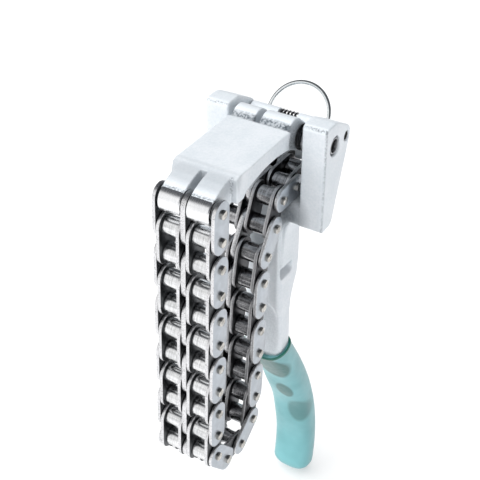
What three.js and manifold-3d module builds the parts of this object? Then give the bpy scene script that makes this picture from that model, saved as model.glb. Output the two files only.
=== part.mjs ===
import * as THREE from 'three';
import { mergeVertices } from 'three/addons/utils/BufferGeometryUtils.js';
import Module from 'manifold-3d';

// Chain filter wrench, millimetres, +Z up, +Y towards the back, X along every pin.
// The origin is the middle of the hand grip. The outlines below are drawn in
// (Y, Z) from the axis of the front pin, where the chain hangs on the lever.

const wasm = await Module();
wasm.setup();

// Shared clearances
const runningGap = 0.3;
const cutOverrun = 2;
const weldGap = 0.00001;

// Duplex roller chain
const pitch = 12.7;
const pinRadius = 2.2;
const boreGap = 0.4;
const rollerRadius = 4.25;
const rollerLength = 7.74;
const plateThickness = 1.6;
const innerPlateHeight = 11.8;
const outerPlateHeight = 10.9;
const middlePlateThickness = 2.4;
const pinHeadLength = 1.3;
const frontLinkCount = 9;
const bowLinkCount = 5;
const frontLean = -3;
const backLeans = [5.3, 6.2, 3.5, 5.8, 5.7, 12.8, 34.1, 26.3];
const throatLinkCount = 3;
const throatOffset = 16.9;
const throatDrop = 21.2;

// Cast lever between the chain's front pin and the main pin
const leverTop = 10.3;
const leverHalfWidth = 14.7;
const noseHalfWidth = 11.6;
const noseLength = 10.3;
const noseShoulderDrop = 0.8;
const noseShoulderRun = 2.2;
const noseBrowBack = 5.9;
const noseBrowDrop = 1.6;
const noseLipBack = 1.1;
const noseLipDrop = 3.3;
const noseWebBack = 2.6;
const knuckleRadius = 5.8;
const knuckleSlot = 3;
const leverWall = 3;
const leverRoof = 4.4;
const leverHollowStart = 15;
const leverHollowOffset = 15.4;
const skirtTipDepth = 1.4;
const skirtArchHeight = 3.6;
const skirtBackHeight = 2;
const creaseOffset = 12.8;
const creaseDepth = 1;
const bulgeOffset = 5.4;
const bulgeHeight = 4.8;
const bulgeRadius = 7;
const barrelRadius = 6.3;
const barrelSlot = 2.8;
const barrelSlotOffset = 11.4;
const barrelSlotAside = -2.6;
const leverEdgeRound = 0.6;

// Main pin, a hollow spring pin
const mainPinBack = 65.4;
const mainPinHeight = 1.2;
const mainPinRadius = 4;
const mainPinBore = 2.5;
const spacerRadius = 5.8;
const spacerLength = 2.4;

// Head: two cheeks on a floor, and the neck under it
const cheekFrontOffset = 8.8;
const cheekThickness = 11.5;
const cheekTop = 12.2;
const cheekCrownOffset = 0.9;
const cheekCrownRadius = 6;
const cheekRearOffset = 14.6;
const cheekRearHeight = 1.5;
const cheekRearRadius = 5;
const cheekHeelOffset = 1.6;
const cheekHeelRadius = 3.5;
const cheekCornerRadius = 2.2;
const floorGap = 0.5;
const floorThickness = 11.4;
const floorOffset = 11.6;
const floorLipRadius = 3;
const edgeRound = 1.2;
const neckHalfWidth = 9.5;
const neckShoulderDepth = 40;
const neckLowerOffset = 3.4;
const neckStep = 13;
const pocketDepth = 1;
const pocketHalfWidth = 7;
const pocketTopDepth = 50.5;
const pocketRimGap = 4;
const grooveInset = 1;
const grooveWidth = 3.6;
const grooveTopDepth = 5;
const grooveDepth = 3.2;
const eyeTopDepth = 28;
const eyeHeight = 6.6;
const eyeWidth = 8;

// Dipped grip over the tang
const neckLength = 80;
const gripHalfWidth = 10.2;
const gripHalfDepth = 7.6;
const gripSkin = 1.4;
const gripEndSkin = 4;
const gripRound = 4.6;
const gripFingerSwell = 0.8;
const gripFingerWaves = 7;
const gripSteps = 26;
const gripStartOffset = 2;
const gripKneeOffset = 20.6;
const gripKneeDrop = 33;
const gripBowOffset = 45.6;
const gripBowDrop = 78;
const gripEndOffset = 33.6;
const gripEndDrop = 124;
const gripHoldShare = 0.62;

// Locking pawl behind the lever
const pinSpacing = 10.9;
const pawlPinHeight = 0.9;
const pawlPinRadius = 2;
const pawlBarrelRadius = 4.1;
const pawlSideGap = 0.5;
const pawlWebThickness = 3.4;
const pawlWebHalfWidth = 16.9;
const pawlWebBottomGap = 0.6;
const toothSideGap = 0.45;
const toothDepth = 4.2;
const toothThickness = 3.6;
const springGapHalfWidth = 4.6;
const springGapAside = 1.3;
const earWidth = 4.4;
const earRadius = 2.6;

// Wire ring held in the pawl's ears
const ringLean = 36.5;
const ringHalfWidth = 14.6;
const ringWire = 0.95;
const ringSeatOffset = 5.6;
const ringSeatDrop = 9.3;
const ringLegLength = 9;
const ringFoot = 3.6;
const ringSteps = 20;

// Torsion spring on the pawl pin
const springWire = 0.5;
const springCoilRadius = 3.5;
const springTurns = 4.5;
const springStepsPerTurn = 8;
const springSides = 5;
const springLeg = 3.4;

// Numbers of facets
const pinSides = 8;
const rollerSides = 8;
const endSteps = 4;
const roundSides = 20;
const bevelSteps = 2;
const bowTries = 60;
const steepestBend = Math.PI / 3;
const straightTurn = 1e-9;

// Derived places
const midPlateHalf = middlePlateThickness / 2;
const strandInner = midPlateHalf + runningGap;
const rollerInner = strandInner + plateThickness;
const rollerOuter = rollerInner + rollerLength;
const strandOuter = rollerOuter + plateThickness;
const outerPlateInner = strandOuter + runningGap;
const outerPlateOuter = outerPlateInner + plateThickness;
const pinEnd = outerPlateOuter + pinHeadLength;
const throatBack = mainPinBack - throatOffset;
const floorTop = -throatDrop - innerPlateHeight / 2 - floorGap;
const leverHollowEnd = mainPinBack - leverHollowOffset;
const creaseBack = mainPinBack - creaseOffset;
const bulgeBack = mainPinBack - bulgeOffset;
const barrelSlotFront = mainPinBack - barrelSlotOffset;
const cheekInner = leverHalfWidth + spacerLength + 2 * runningGap;
const cheekOuter = cheekInner + cheekThickness;
const cheekFront = mainPinBack - cheekFrontOffset;
const cheekCrownBack = mainPinBack - cheekCrownOffset;
const cheekRear = mainPinBack + cheekRearOffset;
const cheekHeel = mainPinBack + cheekHeelOffset;
const cheekBottom = floorThickness - floorTop;
const floorBack = mainPinBack + floorOffset;
const neckShoulder = cheekBottom + neckShoulderDepth;
const neckLowerBack = mainPinBack + neckLowerOffset;
const gripRim = cheekBottom + neckLength;
const pocketTop = cheekBottom + pocketTopDepth;
const pocketBottom = gripRim - pocketRimGap;
const grooveFront = cheekFront + grooveInset;
const grooveBack = grooveFront + grooveWidth;
const grooveTop = cheekBottom + grooveTopDepth;
const eyeTop = cheekBottom + eyeTopDepth;
const eyeBottom = eyeTop + eyeHeight;
const eyeBack = grooveBack + eyeWidth;
const gripStartBack = mainPinBack - gripStartOffset;
const pawlPinBack = mainPinBack + pinSpacing;
const ringSeatBack = pawlPinBack + ringSeatOffset;
const mainPin = [mainPinBack, mainPinHeight];
const pawlPin = [pawlPinBack, pawlPinHeight];

const materials = {
  castSilver: new THREE.MeshStandardMaterial({ color: 0xd6d9dc, roughness: 0.42, metalness: 0.85 }),
  chainSteel: new THREE.MeshStandardMaterial({ color: 0xb4b6b8, roughness: 0.3, metalness: 1 }),
  darkSteel: new THREE.MeshStandardMaterial({ color: 0x5c5d60, roughness: 0.35, metalness: 1 }),
  blackSteel: new THREE.MeshStandardMaterial({ color: 0x1b1c1e, roughness: 0.4, metalness: 0.9 }),
  brightWire: new THREE.MeshStandardMaterial({ color: 0xd9dde0, roughness: 0.2, metalness: 1 }),
  tealVinyl: new THREE.MeshStandardMaterial({ color: 0x4f9a90, roughness: 0.25, metalness: 0 }),
};

// Meshes to solids and back

function toSolid(geometry) {
  const plain = new THREE.BufferGeometry();
  plain.setAttribute('position', geometry.getAttribute('position').clone());
  if (geometry.index) plain.setIndex(geometry.index.clone());
  const merged = mergeVertices(plain, weldGap);
  return new wasm.Manifold(new wasm.Mesh({
    numProp: 3,
    vertProperties: new Float32Array(merged.getAttribute('position').array),
    triVerts: new Uint32Array(merged.index.array),
  }));
}

function toGeometry(solid) {
  const mesh = solid.getMesh();
  const geometry = new THREE.BufferGeometry();
  geometry.setAttribute('position', new THREE.BufferAttribute(new Float32Array(mesh.vertProperties), 3));
  geometry.setIndex(new THREE.BufferAttribute(new Uint32Array(mesh.triVerts), 1));
  return geometry;
}

function joined(solids) {
  return solids.reduce((sum, solid) => sum.add(solid));
}

// Side outlines, drawn in (Y, Z)

function circlePoints([y, z], radius, sides, turn = 0) {
  const points = [];
  for (let i = 0; i < sides; i += 1) {
    const angle = turn + (2 * Math.PI * i) / sides;
    points.push([y + radius * Math.cos(angle), z + radius * Math.sin(angle)]);
  }
  return points;
}

function hullPoints(points) {
  const sorted = [...points].sort((a, b) => a[0] - b[0] || a[1] - b[1]);
  const turnOf = (o, a, b) => (a[0] - o[0]) * (b[1] - o[1]) - (a[1] - o[1]) * (b[0] - o[0]);
  const half = (list) => {
    const chain = [];
    for (const point of list) {
      while (chain.length > 1 && turnOf(chain.at(-2), chain.at(-1), point) <= straightTurn) chain.pop();
      chain.push(point);
    }
    chain.pop();
    return chain;
  };
  return [...half(sorted), ...half(sorted.reverse())];
}

function discHull(discs, sides = roundSides) {
  return hullPoints(discs.flatMap(([y, z, radius]) => circlePoints([y, z], radius, sides)));
}

function shapeOf(points) {
  return new THREE.Shape(points.map(([y, z]) => new THREE.Vector2(y, z)));
}

// A side outline pushed out along X, with rounded long edges where asked
function slab(points, fromX, toX, round = 0) {
  const geometry = new THREE.ExtrudeGeometry(shapeOf(points), {
    depth: toX - fromX - 2 * round,
    bevelEnabled: round > 0,
    bevelThickness: round,
    bevelSize: round,
    bevelOffset: -round,
    bevelSegments: bevelSteps,
    steps: 1,
  });
  const turn = new THREE.Matrix4().set(0, 0, 1, fromX + round, 1, 0, 0, 0, 0, 1, 0, 0, 0, 0, 0, 1);
  return toSolid(geometry.applyMatrix4(turn));
}

function bar([y, z], radius, fromX, toX, sides = roundSides) {
  return slab(circlePoints([y, z], radius, sides, Math.PI / sides), fromX, toX);
}

function block([x0, x1], [y0, y1], [z0, z1]) {
  return slab([[y0, z0], [y1, z0], [y1, z1], [y0, z1]], x0, x1);
}

// Chain route: pin centres at rest, from the lever round the loop to the throat

function stepFrom([y, z], heading) {
  return [y + pitch * Math.sin(heading), z - pitch * Math.cos(heading)];
}

function bowHeadings([y0, z0], [y1, z1]) {
  const across = Math.hypot(y1 - y0, z1 - z0);
  const middle = Math.atan2(y1 - y0, z0 - z1);
  const places = Array.from({ length: bowLinkCount }, (_, i) => i - (bowLinkCount - 1) / 2);
  let low = 0;
  let high = steepestBend;
  for (let i = 0; i < bowTries; i += 1) {
    const bend = (low + high) / 2;
    const reach = pitch * places.reduce((sum, place) => sum + Math.cos(place * bend), 0);
    if (reach > across) low = bend;
    else high = bend;
  }
  return places.map((place) => middle + place * low);
}

function chainRoute() {
  const degree = Math.PI / 180;
  const headings = Array.from({ length: frontLinkCount }, () => frontLean * degree);
  let frontEnd = [0, 0];
  for (const heading of headings) frontEnd = stepFrom(frontEnd, heading);
  const rising = backLeans.map((lean) => Math.PI - lean * degree);
  let backEnd = [throatBack, -throatDrop];
  for (const heading of [...rising].reverse()) backEnd = stepFrom(backEnd, heading + Math.PI);
  headings.push(...bowHeadings(frontEnd, backEnd), ...rising);
  for (let i = 0; i < throatLinkCount; i += 1) headings.push(Math.PI / 2);
  const pins = [[0, 0]];
  for (const heading of headings) pins.push(stepFrom(pins.at(-1), heading));
  return { headings, pins };
}

// Chain pieces, drawn hanging down from their first pin

function linkOutline(height) {
  const top = circlePoints([0, 0], height / 2, 2 * endSteps, 0).slice(0, endSteps + 1);
  const bottom = top.map(([y, z]) => [-y, -pitch - z]);
  return [...top, ...bottom];
}

function pinLinkSolid() {
  const outer = linkOutline(outerPlateHeight);
  return joined([
    slab(outer, outerPlateInner, outerPlateOuter),
    slab(outer, -outerPlateOuter, -outerPlateInner),
    slab(outer, -midPlateHalf, midPlateHalf),
    bar([0, 0], pinRadius, -pinEnd, pinEnd, pinSides),
    bar([0, -pitch], pinRadius, -pinEnd, pinEnd, pinSides),
  ]);
}

function rollerLinkSolid() {
  const inner = linkOutline(innerPlateHeight);
  const ends = [[0, 0], [0, -pitch]];
  const body = joined([
    slab(inner, strandInner, rollerInner),
    slab(inner, rollerOuter, strandOuter),
    ...ends.map((end) => bar(end, rollerRadius, rollerInner, rollerOuter, rollerSides)),
  ]);
  const bores = ends.map((end) => bar(end, pinRadius + boreGap, 0, strandOuter + cutOverrun, pinSides));
  return body.subtract(joined(bores));
}

// Cast lever

function noseOutline() {
  return hullPoints([
    ...circlePoints([0, 0], knuckleRadius, roundSides),
    [noseLipBack, leverTop - noseLipDrop],
    [noseBrowBack, leverTop - noseBrowDrop],
    [noseLength + cutOverrun, leverTop - noseShoulderDrop],
    [noseLength + cutOverrun, -skirtTipDepth],
  ]);
}

// The web that carries the lever's left side on to the nose
function noseWeb() {
  const height = [-skirtTipDepth, leverTop - noseShoulderDrop];
  const wide = block([-leverHalfWidth, -noseHalfWidth], [noseLength, noseLength + cutOverrun], height);
  const narrow = block(
    [-noseHalfWidth, -knuckleSlot],
    [noseWebBack, noseLength],
    [-skirtTipDepth, leverTop - noseLipDrop],
  );
  return wasm.Manifold.hull([wide, narrow]);
}

function leverSolid() {
  const backEdge = mainPinBack - barrelRadius;
  const plate = [
    [noseLength, -skirtTipDepth],
    [leverHollowStart, -skirtTipDepth],
    [leverHollowStart + leverWall, skirtBackHeight / 2],
    [(leverHollowStart + leverHollowEnd) / 2, skirtArchHeight],
    [leverHollowEnd, skirtBackHeight],
    [backEdge + cutOverrun, skirtBackHeight - leverWall],
    [backEdge + cutOverrun, leverTop - creaseDepth],
    [creaseBack, leverTop - creaseDepth],
    [creaseBack - creaseDepth, leverTop],
    [noseLength + noseShoulderRun, leverTop],
    [noseLength, leverTop - noseShoulderDrop],
  ];
  const barrelHull = discHull([[...mainPin, barrelRadius], [bulgeBack, bulgeHeight, bulgeRadius]]);
  const body = joined([
    slab(plate, -leverHalfWidth, leverHalfWidth, leverEdgeRound),
    slab(noseOutline(), -noseHalfWidth, noseHalfWidth),
    noseWeb(),
    slab(barrelHull, -leverHalfWidth, leverHalfWidth),
  ]);
  const hollow = block(
    [leverWall - leverHalfWidth, leverHalfWidth - leverWall],
    [leverHollowStart, leverHollowEnd],
    [-knuckleRadius - cutOverrun, leverTop - leverRoof],
  );
  const noseSlot = block(
    [-knuckleSlot / 2, knuckleSlot / 2],
    [-knuckleRadius - cutOverrun, noseLength],
    [-knuckleRadius - cutOverrun, leverTop + cutOverrun],
  );
  const barrelOpening = block(
    [barrelSlotAside - barrelSlot / 2, barrelSlotAside + barrelSlot / 2],
    [barrelSlotFront, mainPinBack + mainPinRadius],
    [mainPinHeight, bulgeHeight + bulgeRadius + cutOverrun],
  );
  const across = leverHalfWidth + cutOverrun;
  return body
    .subtract(hollow)
    .subtract(noseSlot)
    .subtract(barrelOpening)
    .subtract(bar(mainPin, mainPinRadius + runningGap, -across, across))
    .subtract(bar([0, 0], pinRadius + boreGap, -across, across, pinSides));
}

// Head, neck and tang

function cheekOutline() {
  return discHull([
    [cheekFront + cheekCornerRadius, cheekTop - cheekCornerRadius, cheekCornerRadius],
    [cheekCrownBack, cheekTop - cheekCrownRadius, cheekCrownRadius],
    [cheekRear - cheekRearRadius, cheekRearHeight, cheekRearRadius],
    [cheekHeel - cheekHeelRadius, cheekHeelRadius - cheekBottom, cheekHeelRadius],
    [cheekFront + cheekCornerRadius, cheekCornerRadius - cheekBottom, cheekCornerRadius],
  ]);
}

const gripCurve = new THREE.CubicBezierCurve(
  new THREE.Vector2(gripStartBack, -gripRim),
  new THREE.Vector2(gripStartBack + gripKneeOffset, -gripRim - gripKneeDrop),
  new THREE.Vector2(gripStartBack + gripBowOffset, -gripRim - gripBowDrop),
  new THREE.Vector2(gripStartBack + gripEndOffset, -gripRim - gripEndDrop),
);

// A share along the handle's curve; above the rim it goes straight on
function handleCentre(share) {
  const onCurve = Math.max(share, 0);
  const point = gripCurve.getPointAt(onCurve);
  const along = gripCurve.getTangentAt(onCurve);
  point.addScaledVector(along, Math.min(share, 0) * gripCurve.getLength());
  return { point: [point.x, point.y], side: [-along.y, along.x], along: [along.x, along.y] };
}

function handleBand(halfDepthAt, fromShare, toShare) {
  const front = [];
  const back = [];
  for (let i = 0; i <= gripSteps; i += 1) {
    const share = fromShare + ((toShare - fromShare) * i) / gripSteps;
    const { point, side } = handleCentre(share);
    const half = halfDepthAt(share);
    back.push([point[0] + half.back * side[0], point[1] + half.back * side[1]]);
    front.push([point[0] - half.front * side[0], point[1] - half.front * side[1]]);
  }
  return [...front, ...back.reverse()];
}

// A box across the handle at the rim of the grip, between two distances along it
function rimBox(half, fromAlong, toAlong) {
  const { point, side, along } = handleCentre(0);
  const corner = (across, down) => [0, 1].map((k) => point[k] + across * side[k] + down * along[k]);
  return [
    corner(-half, fromAlong),
    corner(-half, toAlong),
    corner(half, toAlong),
    corner(half, fromAlong),
  ];
}

function rimHeight(y) {
  const { point, side } = handleCentre(0);
  return point[1] + ((y - point[0]) * side[1]) / side[0];
}

function tangHalf() {
  const half = gripHalfDepth - gripSkin - runningGap;
  return { front: half, back: half };
}

function gripHalf(share) {
  const along = Math.max(share, 0);
  const swell = gripFingerSwell * Math.sin(along * Math.PI * gripFingerWaves) * Math.sin(along * Math.PI);
  return { front: gripHalfDepth + swell, back: gripHalfDepth };
}

function handleSolid() {
  const cheek = cheekOutline();
  const neckStart = floorTop - floorLipRadius;
  const floor = discHull([
    [cheekFront + floorLipRadius, floorTop - floorLipRadius, floorLipRadius],
    [floorBack - floorLipRadius, floorTop - floorLipRadius, floorLipRadius],
    [floorBack - floorLipRadius, floorLipRadius - cheekBottom, floorLipRadius],
    [cheekFront + floorLipRadius, floorLipRadius - cheekBottom, floorLipRadius],
  ]);
  const neck = [
    [cheekFront, neckStart],
    [floorBack, neckStart],
    [floorBack, -neckShoulder],
    [neckLowerBack, -neckShoulder - neckStep],
    [neckLowerBack, rimHeight(neckLowerBack) + runningGap],
    [cheekFront, rimHeight(cheekFront) + runningGap],
  ];
  const tangWidth = gripHalfWidth - gripSkin - runningGap;
  const tangStart = (-gripRound - cutOverrun) / gripCurve.getLength();
  const tangEnd = 1 - (gripEndSkin + runningGap) / gripCurve.getLength();
  const body = joined([
    slab(cheek, cheekInner, cheekOuter, edgeRound),
    slab(cheek, -cheekOuter, -cheekInner, edgeRound),
    slab(floor, -cheekInner - edgeRound - cutOverrun, cheekInner + edgeRound + cutOverrun),
    slab(neck, -neckHalfWidth, neckHalfWidth, edgeRound),
    slab(handleBand(tangHalf, tangStart, tangEnd), -tangWidth, tangWidth, gripRound - gripSkin - runningGap),
  ]);
  const across = cheekOuter + cutOverrun;
  const pocket = slab(
    hullPoints([
      ...circlePoints([0, -pocketTop - pocketHalfWidth], pocketHalfWidth, roundSides),
      [-pocketHalfWidth, -pocketBottom],
      [pocketHalfWidth, -pocketBottom],
    ]),
    0,
    pocketDepth + cutOverrun,
  ).rotate([0, 0, 90]).translate([0, cheekFront - cutOverrun, 0]);
  const groove = [
    [grooveFront, -grooveTop],
    [grooveFront, -eyeBottom],
    [(grooveBack + eyeBack) / 2, -eyeBottom],
    [eyeBack, (-eyeBottom - eyeTop) / 2],
    [eyeBack, -eyeTop],
    [grooveBack, -eyeTop],
    [grooveBack, -grooveTop],
  ];
  const grooves = joined([
    slab(groove, neckHalfWidth - grooveDepth, neckHalfWidth + cutOverrun),
    slab(groove, -neckHalfWidth - cutOverrun, grooveDepth - neckHalfWidth),
  ]);
  return body
    .subtract(grooves)
    .subtract(bar(mainPin, mainPinRadius + runningGap, -across, across))
    .subtract(bar(pawlPin, pawlPinRadius + runningGap, -across, across, pinSides))
    .subtract(pocket);
}

function gripSolid() {
  const length = gripCurve.getLength();
  const startShare = (-gripRound - cutOverrun) / length;
  const half = gripHalfDepth - gripSkin;
  const width = gripHalfWidth - gripSkin;
  const outer = slab(handleBand(gripHalf, startShare, 1), -gripHalfWidth, gripHalfWidth, gripRound);
  const hollow = handleBand(() => ({ front: half, back: half }), 2 * startShare, 1 - gripEndSkin / length);
  const aboveRim = rimBox(2 * gripHalfDepth, -2 * gripHalfDepth, 0);
  return outer
    .subtract(slab(hollow, -width, width, gripRound - gripSkin))
    .subtract(slab(aboveRim, -2 * gripHalfWidth, 2 * gripHalfWidth));
}

// Main pin, spacers and the pawl's own pin

function tubeSolid(centre, radius, bore, fromX, toX) {
  return bar(centre, radius, fromX, toX).subtract(bar(centre, bore, fromX - cutOverrun, toX + cutOverrun));
}

// Pawl

function toothBack() {
  return throatBack + (throatLinkCount - 1) * pitch + rollerRadius + toothSideGap;
}

function pawlSolid() {
  const halfWidth = cheekInner - pawlSideGap;
  const plateTop = -throatDrop + innerPlateHeight / 2;
  const webBottom = plateTop + pawlWebBottomGap;
  const toothFront = toothBack();
  const barrel = bar(pawlPin, pawlBarrelRadius, -halfWidth, halfWidth);
  const web = slab(
    discHull([
      [pawlPinBack + pawlWebThickness / 2, pawlPinHeight, pawlWebThickness / 2],
      [toothFront + pawlWebThickness / 2, webBottom + pawlWebThickness / 2, pawlWebThickness / 2],
    ], rollerSides),
    -pawlWebHalfWidth,
    pawlWebHalfWidth,
  );
  const tooth = [
    [toothFront, webBottom + pawlWebThickness],
    [toothFront, webBottom - toothDepth],
    [toothFront + toothThickness / 2, webBottom - toothDepth],
    [toothFront + toothThickness, webBottom + pawlWebThickness],
  ];
  const ear = discHull([
    [toothFront + pawlWebThickness / 2, -ringSeatDrop, earRadius],
    [ringSeatBack, -ringSeatDrop, earRadius],
  ], roundSides / 2);
  const sides = [-1, 1].flatMap((side) => {
    const near = side * (rollerInner + toothSideGap);
    const far = side * (rollerOuter - toothSideGap);
    const earNear = side * (ringHalfWidth - earWidth / 2);
    const earFar = side * (ringHalfWidth + earWidth / 2);
    return [
      slab(tooth, Math.min(near, far), Math.max(near, far)),
      slab(ear, Math.min(earNear, earFar), Math.max(earNear, earFar)),
    ];
  });
  const springGap = slab(
    circlePoints(pawlPin, pawlBarrelRadius + cutOverrun, roundSides),
    springGapAside - springGapHalfWidth,
    springGapAside + springGapHalfWidth,
  );
  const holes = [-1, 1].map((side) => ringHole(side));
  return joined([barrel, web, ...sides])
    .subtract(springGap)
    .subtract(bar(pawlPin, pawlPinRadius + runningGap, -halfWidth - cutOverrun, halfWidth + cutOverrun, pinSides))
    .subtract(joined(holes));
}

// The ring leans back from its seat in the pawl: a place in its own plane, in part places
function ringPlace(x, height) {
  const lean = THREE.MathUtils.degToRad(ringLean);
  return new THREE.Vector3(x, ringSeatBack + height * Math.sin(lean), height * Math.cos(lean) - ringSeatDrop);
}

function ringHole(side) {
  const ends = [-ringFoot - runningGap, ringLegLength].map((height) => ringPlace(side * ringHalfWidth, height));
  const normals = ends.map(() => new THREE.Vector3(1, 0, 0));
  return tubeAlong(ends, (ringWire + runningGap) / Math.cos(Math.PI / pinSides), pinSides, normals);
}

// Tube along a list of points, with flat ends

function tubeAlong(points, radius, sides, normals) {
  const positions = [];
  const indices = [];
  points.forEach((point, i) => {
    const before = points[Math.max(i - 1, 0)];
    const after = points[Math.min(i + 1, points.length - 1)];
    const along = after.clone().sub(before).normalize();
    const across = normals[i].clone().addScaledVector(along, -normals[i].dot(along)).normalize();
    const third = along.clone().cross(across);
    for (let k = 0; k < sides; k += 1) {
      const angle = (2 * Math.PI * k) / sides;
      const corner = point.clone().addScaledVector(across, radius * Math.cos(angle));
      corner.addScaledVector(third, radius * Math.sin(angle));
      positions.push(corner.x, corner.y, corner.z);
    }
  });
  for (let i = 0; i < points.length - 1; i += 1) {
    for (let k = 0; k < sides; k += 1) {
      const a = i * sides + k;
      const b = i * sides + ((k + 1) % sides);
      indices.push(a, b, a + sides, b, b + sides, a + sides);
    }
  }
  const last = (points.length - 1) * sides;
  for (let k = 1; k < sides - 1; k += 1) {
    indices.push(0, k + 1, k);
    indices.push(last, last + k, last + k + 1);
  }
  const geometry = new THREE.BufferGeometry();
  geometry.setAttribute('position', new THREE.BufferAttribute(new Float32Array(positions), 3));
  geometry.setIndex(indices);
  return toSolid(geometry);
}

function ringSolid() {
  const points = [ringPlace(ringHalfWidth, -ringFoot)];
  for (let i = 0; i <= ringSteps; i += 1) {
    const angle = (Math.PI * i) / ringSteps;
    points.push(ringPlace(ringHalfWidth * Math.cos(angle), ringLegLength + ringHalfWidth * Math.sin(angle)));
  }
  points.push(ringPlace(-ringHalfWidth, -ringFoot));
  const ahead = ringPlace(0, 1).sub(ringPlace(0, 0)).cross(new THREE.Vector3(1, 0, 0)).normalize();
  const normals = points.map(() => ahead);
  return tubeAlong(points, ringWire, pinSides, normals);
}

// Spring: a straight leg down the back of the pin, the turns round it, and a leg down its front

function springPoints() {
  const rise = (2 * (springGapHalfWidth - springWire - runningGap)) / springTurns;
  const half = (rise * springTurns) / 2;
  const steps = springTurns * springStepsPerTurn;
  const points = [];
  const normals = [];
  const first = springGapAside - half;
  const legEnd = pawlPinHeight - springLeg;
  points.push(new THREE.Vector3(first, pawlPinBack + springCoilRadius, legEnd));
  normals.push(new THREE.Vector3(0, 1, 0));
  for (let i = 0; i <= steps; i += 1) {
    const angle = (2 * Math.PI * i) / springStepsPerTurn;
    const outward = new THREE.Vector3(0, Math.cos(angle), Math.sin(angle));
    const middle = new THREE.Vector3(first + (rise * i) / springStepsPerTurn, pawlPinBack, pawlPinHeight);
    points.push(middle.addScaledVector(outward, springCoilRadius));
    normals.push(outward);
  }
  points.push(new THREE.Vector3(springGapAside + half, pawlPinBack - springCoilRadius, legEnd));
  normals.push(new THREE.Vector3(0, -1, 0));
  return { points, normals };
}

function leastGap(points) {
  let least = Infinity;
  for (let i = 0; i < points.length; i += 1) {
    for (let j = i + springStepsPerTurn - 2; j < points.length; j += 1) {
      least = Math.min(least, points[i].distanceTo(points[j]) - 2 * springWire);
    }
  }
  return least;
}

// The assembly

const route = chainRoute();
const gripMiddle = handleCentre(gripHoldShare).point;
const wrench = new THREE.Group();
wrench.position.set(0, -gripMiddle[0], -gripMiddle[1]);

function add(name, solid, material, holder = wrench) {
  const mesh = new THREE.Mesh(toGeometry(solid), material);
  mesh.name = name;
  holder.add(mesh);
}

function addChain() {
  const pinLink = pinLinkSolid();
  const rollerLink = rollerLinkSolid();
  const mirrored = rollerLink.mirror([1, 0, 0]);
  route.headings.forEach((heading, i) => {
    const place = new THREE.Group();
    place.position.set(0, ...route.pins[i]);
    place.rotation.x = heading;
    wrench.add(place);
    const number = String(i + 1).padStart(2, '0');
    const material = i < frontLinkCount ? materials.chainSteel : materials.darkSteel;
    if (i % 2 === 0) {
      add(`pin_link_${number}`, pinLink, material, place);
    } else {
      add(`roller_link_${number}_right`, rollerLink, material, place);
      add(`roller_link_${number}_left`, mirrored, material, place);
    }
  });
}

function addHead() {
  add('handle_body', handleSolid(), materials.castSilver);
  add('grip', gripSolid(), materials.tealVinyl);
  add('tension_lever', leverSolid(), materials.castSilver);
  const pinLength = cheekOuter - edgeRound;
  add('main_pin', tubeSolid(mainPin, mainPinRadius, mainPinBore, -pinLength, pinLength), materials.blackSteel);
  for (const [name, side] of [['spacer_left', -1], ['spacer_right', 1]]) {
    const near = side * (leverHalfWidth + runningGap);
    const far = side * (cheekInner - runningGap);
    const ends = [Math.min(near, far), Math.max(near, far)];
    add(name, tubeSolid(mainPin, spacerRadius, mainPinRadius + runningGap, ...ends), materials.blackSteel);
  }
}

function addLock() {
  add('locking_pawl', pawlSolid(), materials.castSilver);
  const pinLength = cheekOuter - edgeRound;
  add('pawl_pin', bar(pawlPin, pawlPinRadius, -pinLength, pinLength, pinSides), materials.blackSteel);
  add('release_ring', ringSolid(), materials.brightWire);
  const { points, normals } = springPoints();
  add('pawl_spring', tubeAlong(points, springWire, springSides, normals), materials.darkSteel);
  console.log(`pawl spring: least gap between turns ${leastGap(points).toFixed(2)} mm`);
}

addHead();
addLock();
addChain();

const group = wrench;
export default group;
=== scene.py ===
"""A chain filter wrench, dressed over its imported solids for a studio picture.

Sizes in the classes are millimetres. Places are counted from the axis of the front pin,
where the chain hangs on the lever: X across, Y to the back, Z up. Meshes are in metres,
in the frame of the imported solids.
"""

import logging
import math
from dataclasses import dataclass, field
from enum import Enum
from typing import Callable, Sequence

import bmesh
import bpy
from mathutils import Matrix, Vector


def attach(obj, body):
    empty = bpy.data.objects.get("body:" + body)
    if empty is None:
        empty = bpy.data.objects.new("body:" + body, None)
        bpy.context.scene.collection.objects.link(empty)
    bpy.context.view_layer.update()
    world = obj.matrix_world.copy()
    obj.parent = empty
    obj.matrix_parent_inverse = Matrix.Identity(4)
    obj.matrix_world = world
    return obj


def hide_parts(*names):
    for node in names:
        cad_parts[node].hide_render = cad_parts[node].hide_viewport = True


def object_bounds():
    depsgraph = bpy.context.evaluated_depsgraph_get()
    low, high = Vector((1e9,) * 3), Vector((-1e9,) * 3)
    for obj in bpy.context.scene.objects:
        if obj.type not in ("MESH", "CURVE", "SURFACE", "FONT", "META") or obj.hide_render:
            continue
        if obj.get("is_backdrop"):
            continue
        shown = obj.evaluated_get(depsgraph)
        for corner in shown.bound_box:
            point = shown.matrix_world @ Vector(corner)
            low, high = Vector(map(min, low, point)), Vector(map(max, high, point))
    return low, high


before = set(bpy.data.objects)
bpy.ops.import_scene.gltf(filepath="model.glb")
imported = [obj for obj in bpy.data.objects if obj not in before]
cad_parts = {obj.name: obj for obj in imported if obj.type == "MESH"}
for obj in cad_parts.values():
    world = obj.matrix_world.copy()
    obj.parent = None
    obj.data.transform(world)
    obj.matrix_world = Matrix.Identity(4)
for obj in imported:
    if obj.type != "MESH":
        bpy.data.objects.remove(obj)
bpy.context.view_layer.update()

LOG = logging.getLogger("chain_wrench")
MM = 0.001
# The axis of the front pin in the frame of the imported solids, in metres.
FRONT_PIN = Vector((0.0, -0.09728967921788897, 0.19321840477095847))
FULL_TURN = 2 * math.pi

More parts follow.
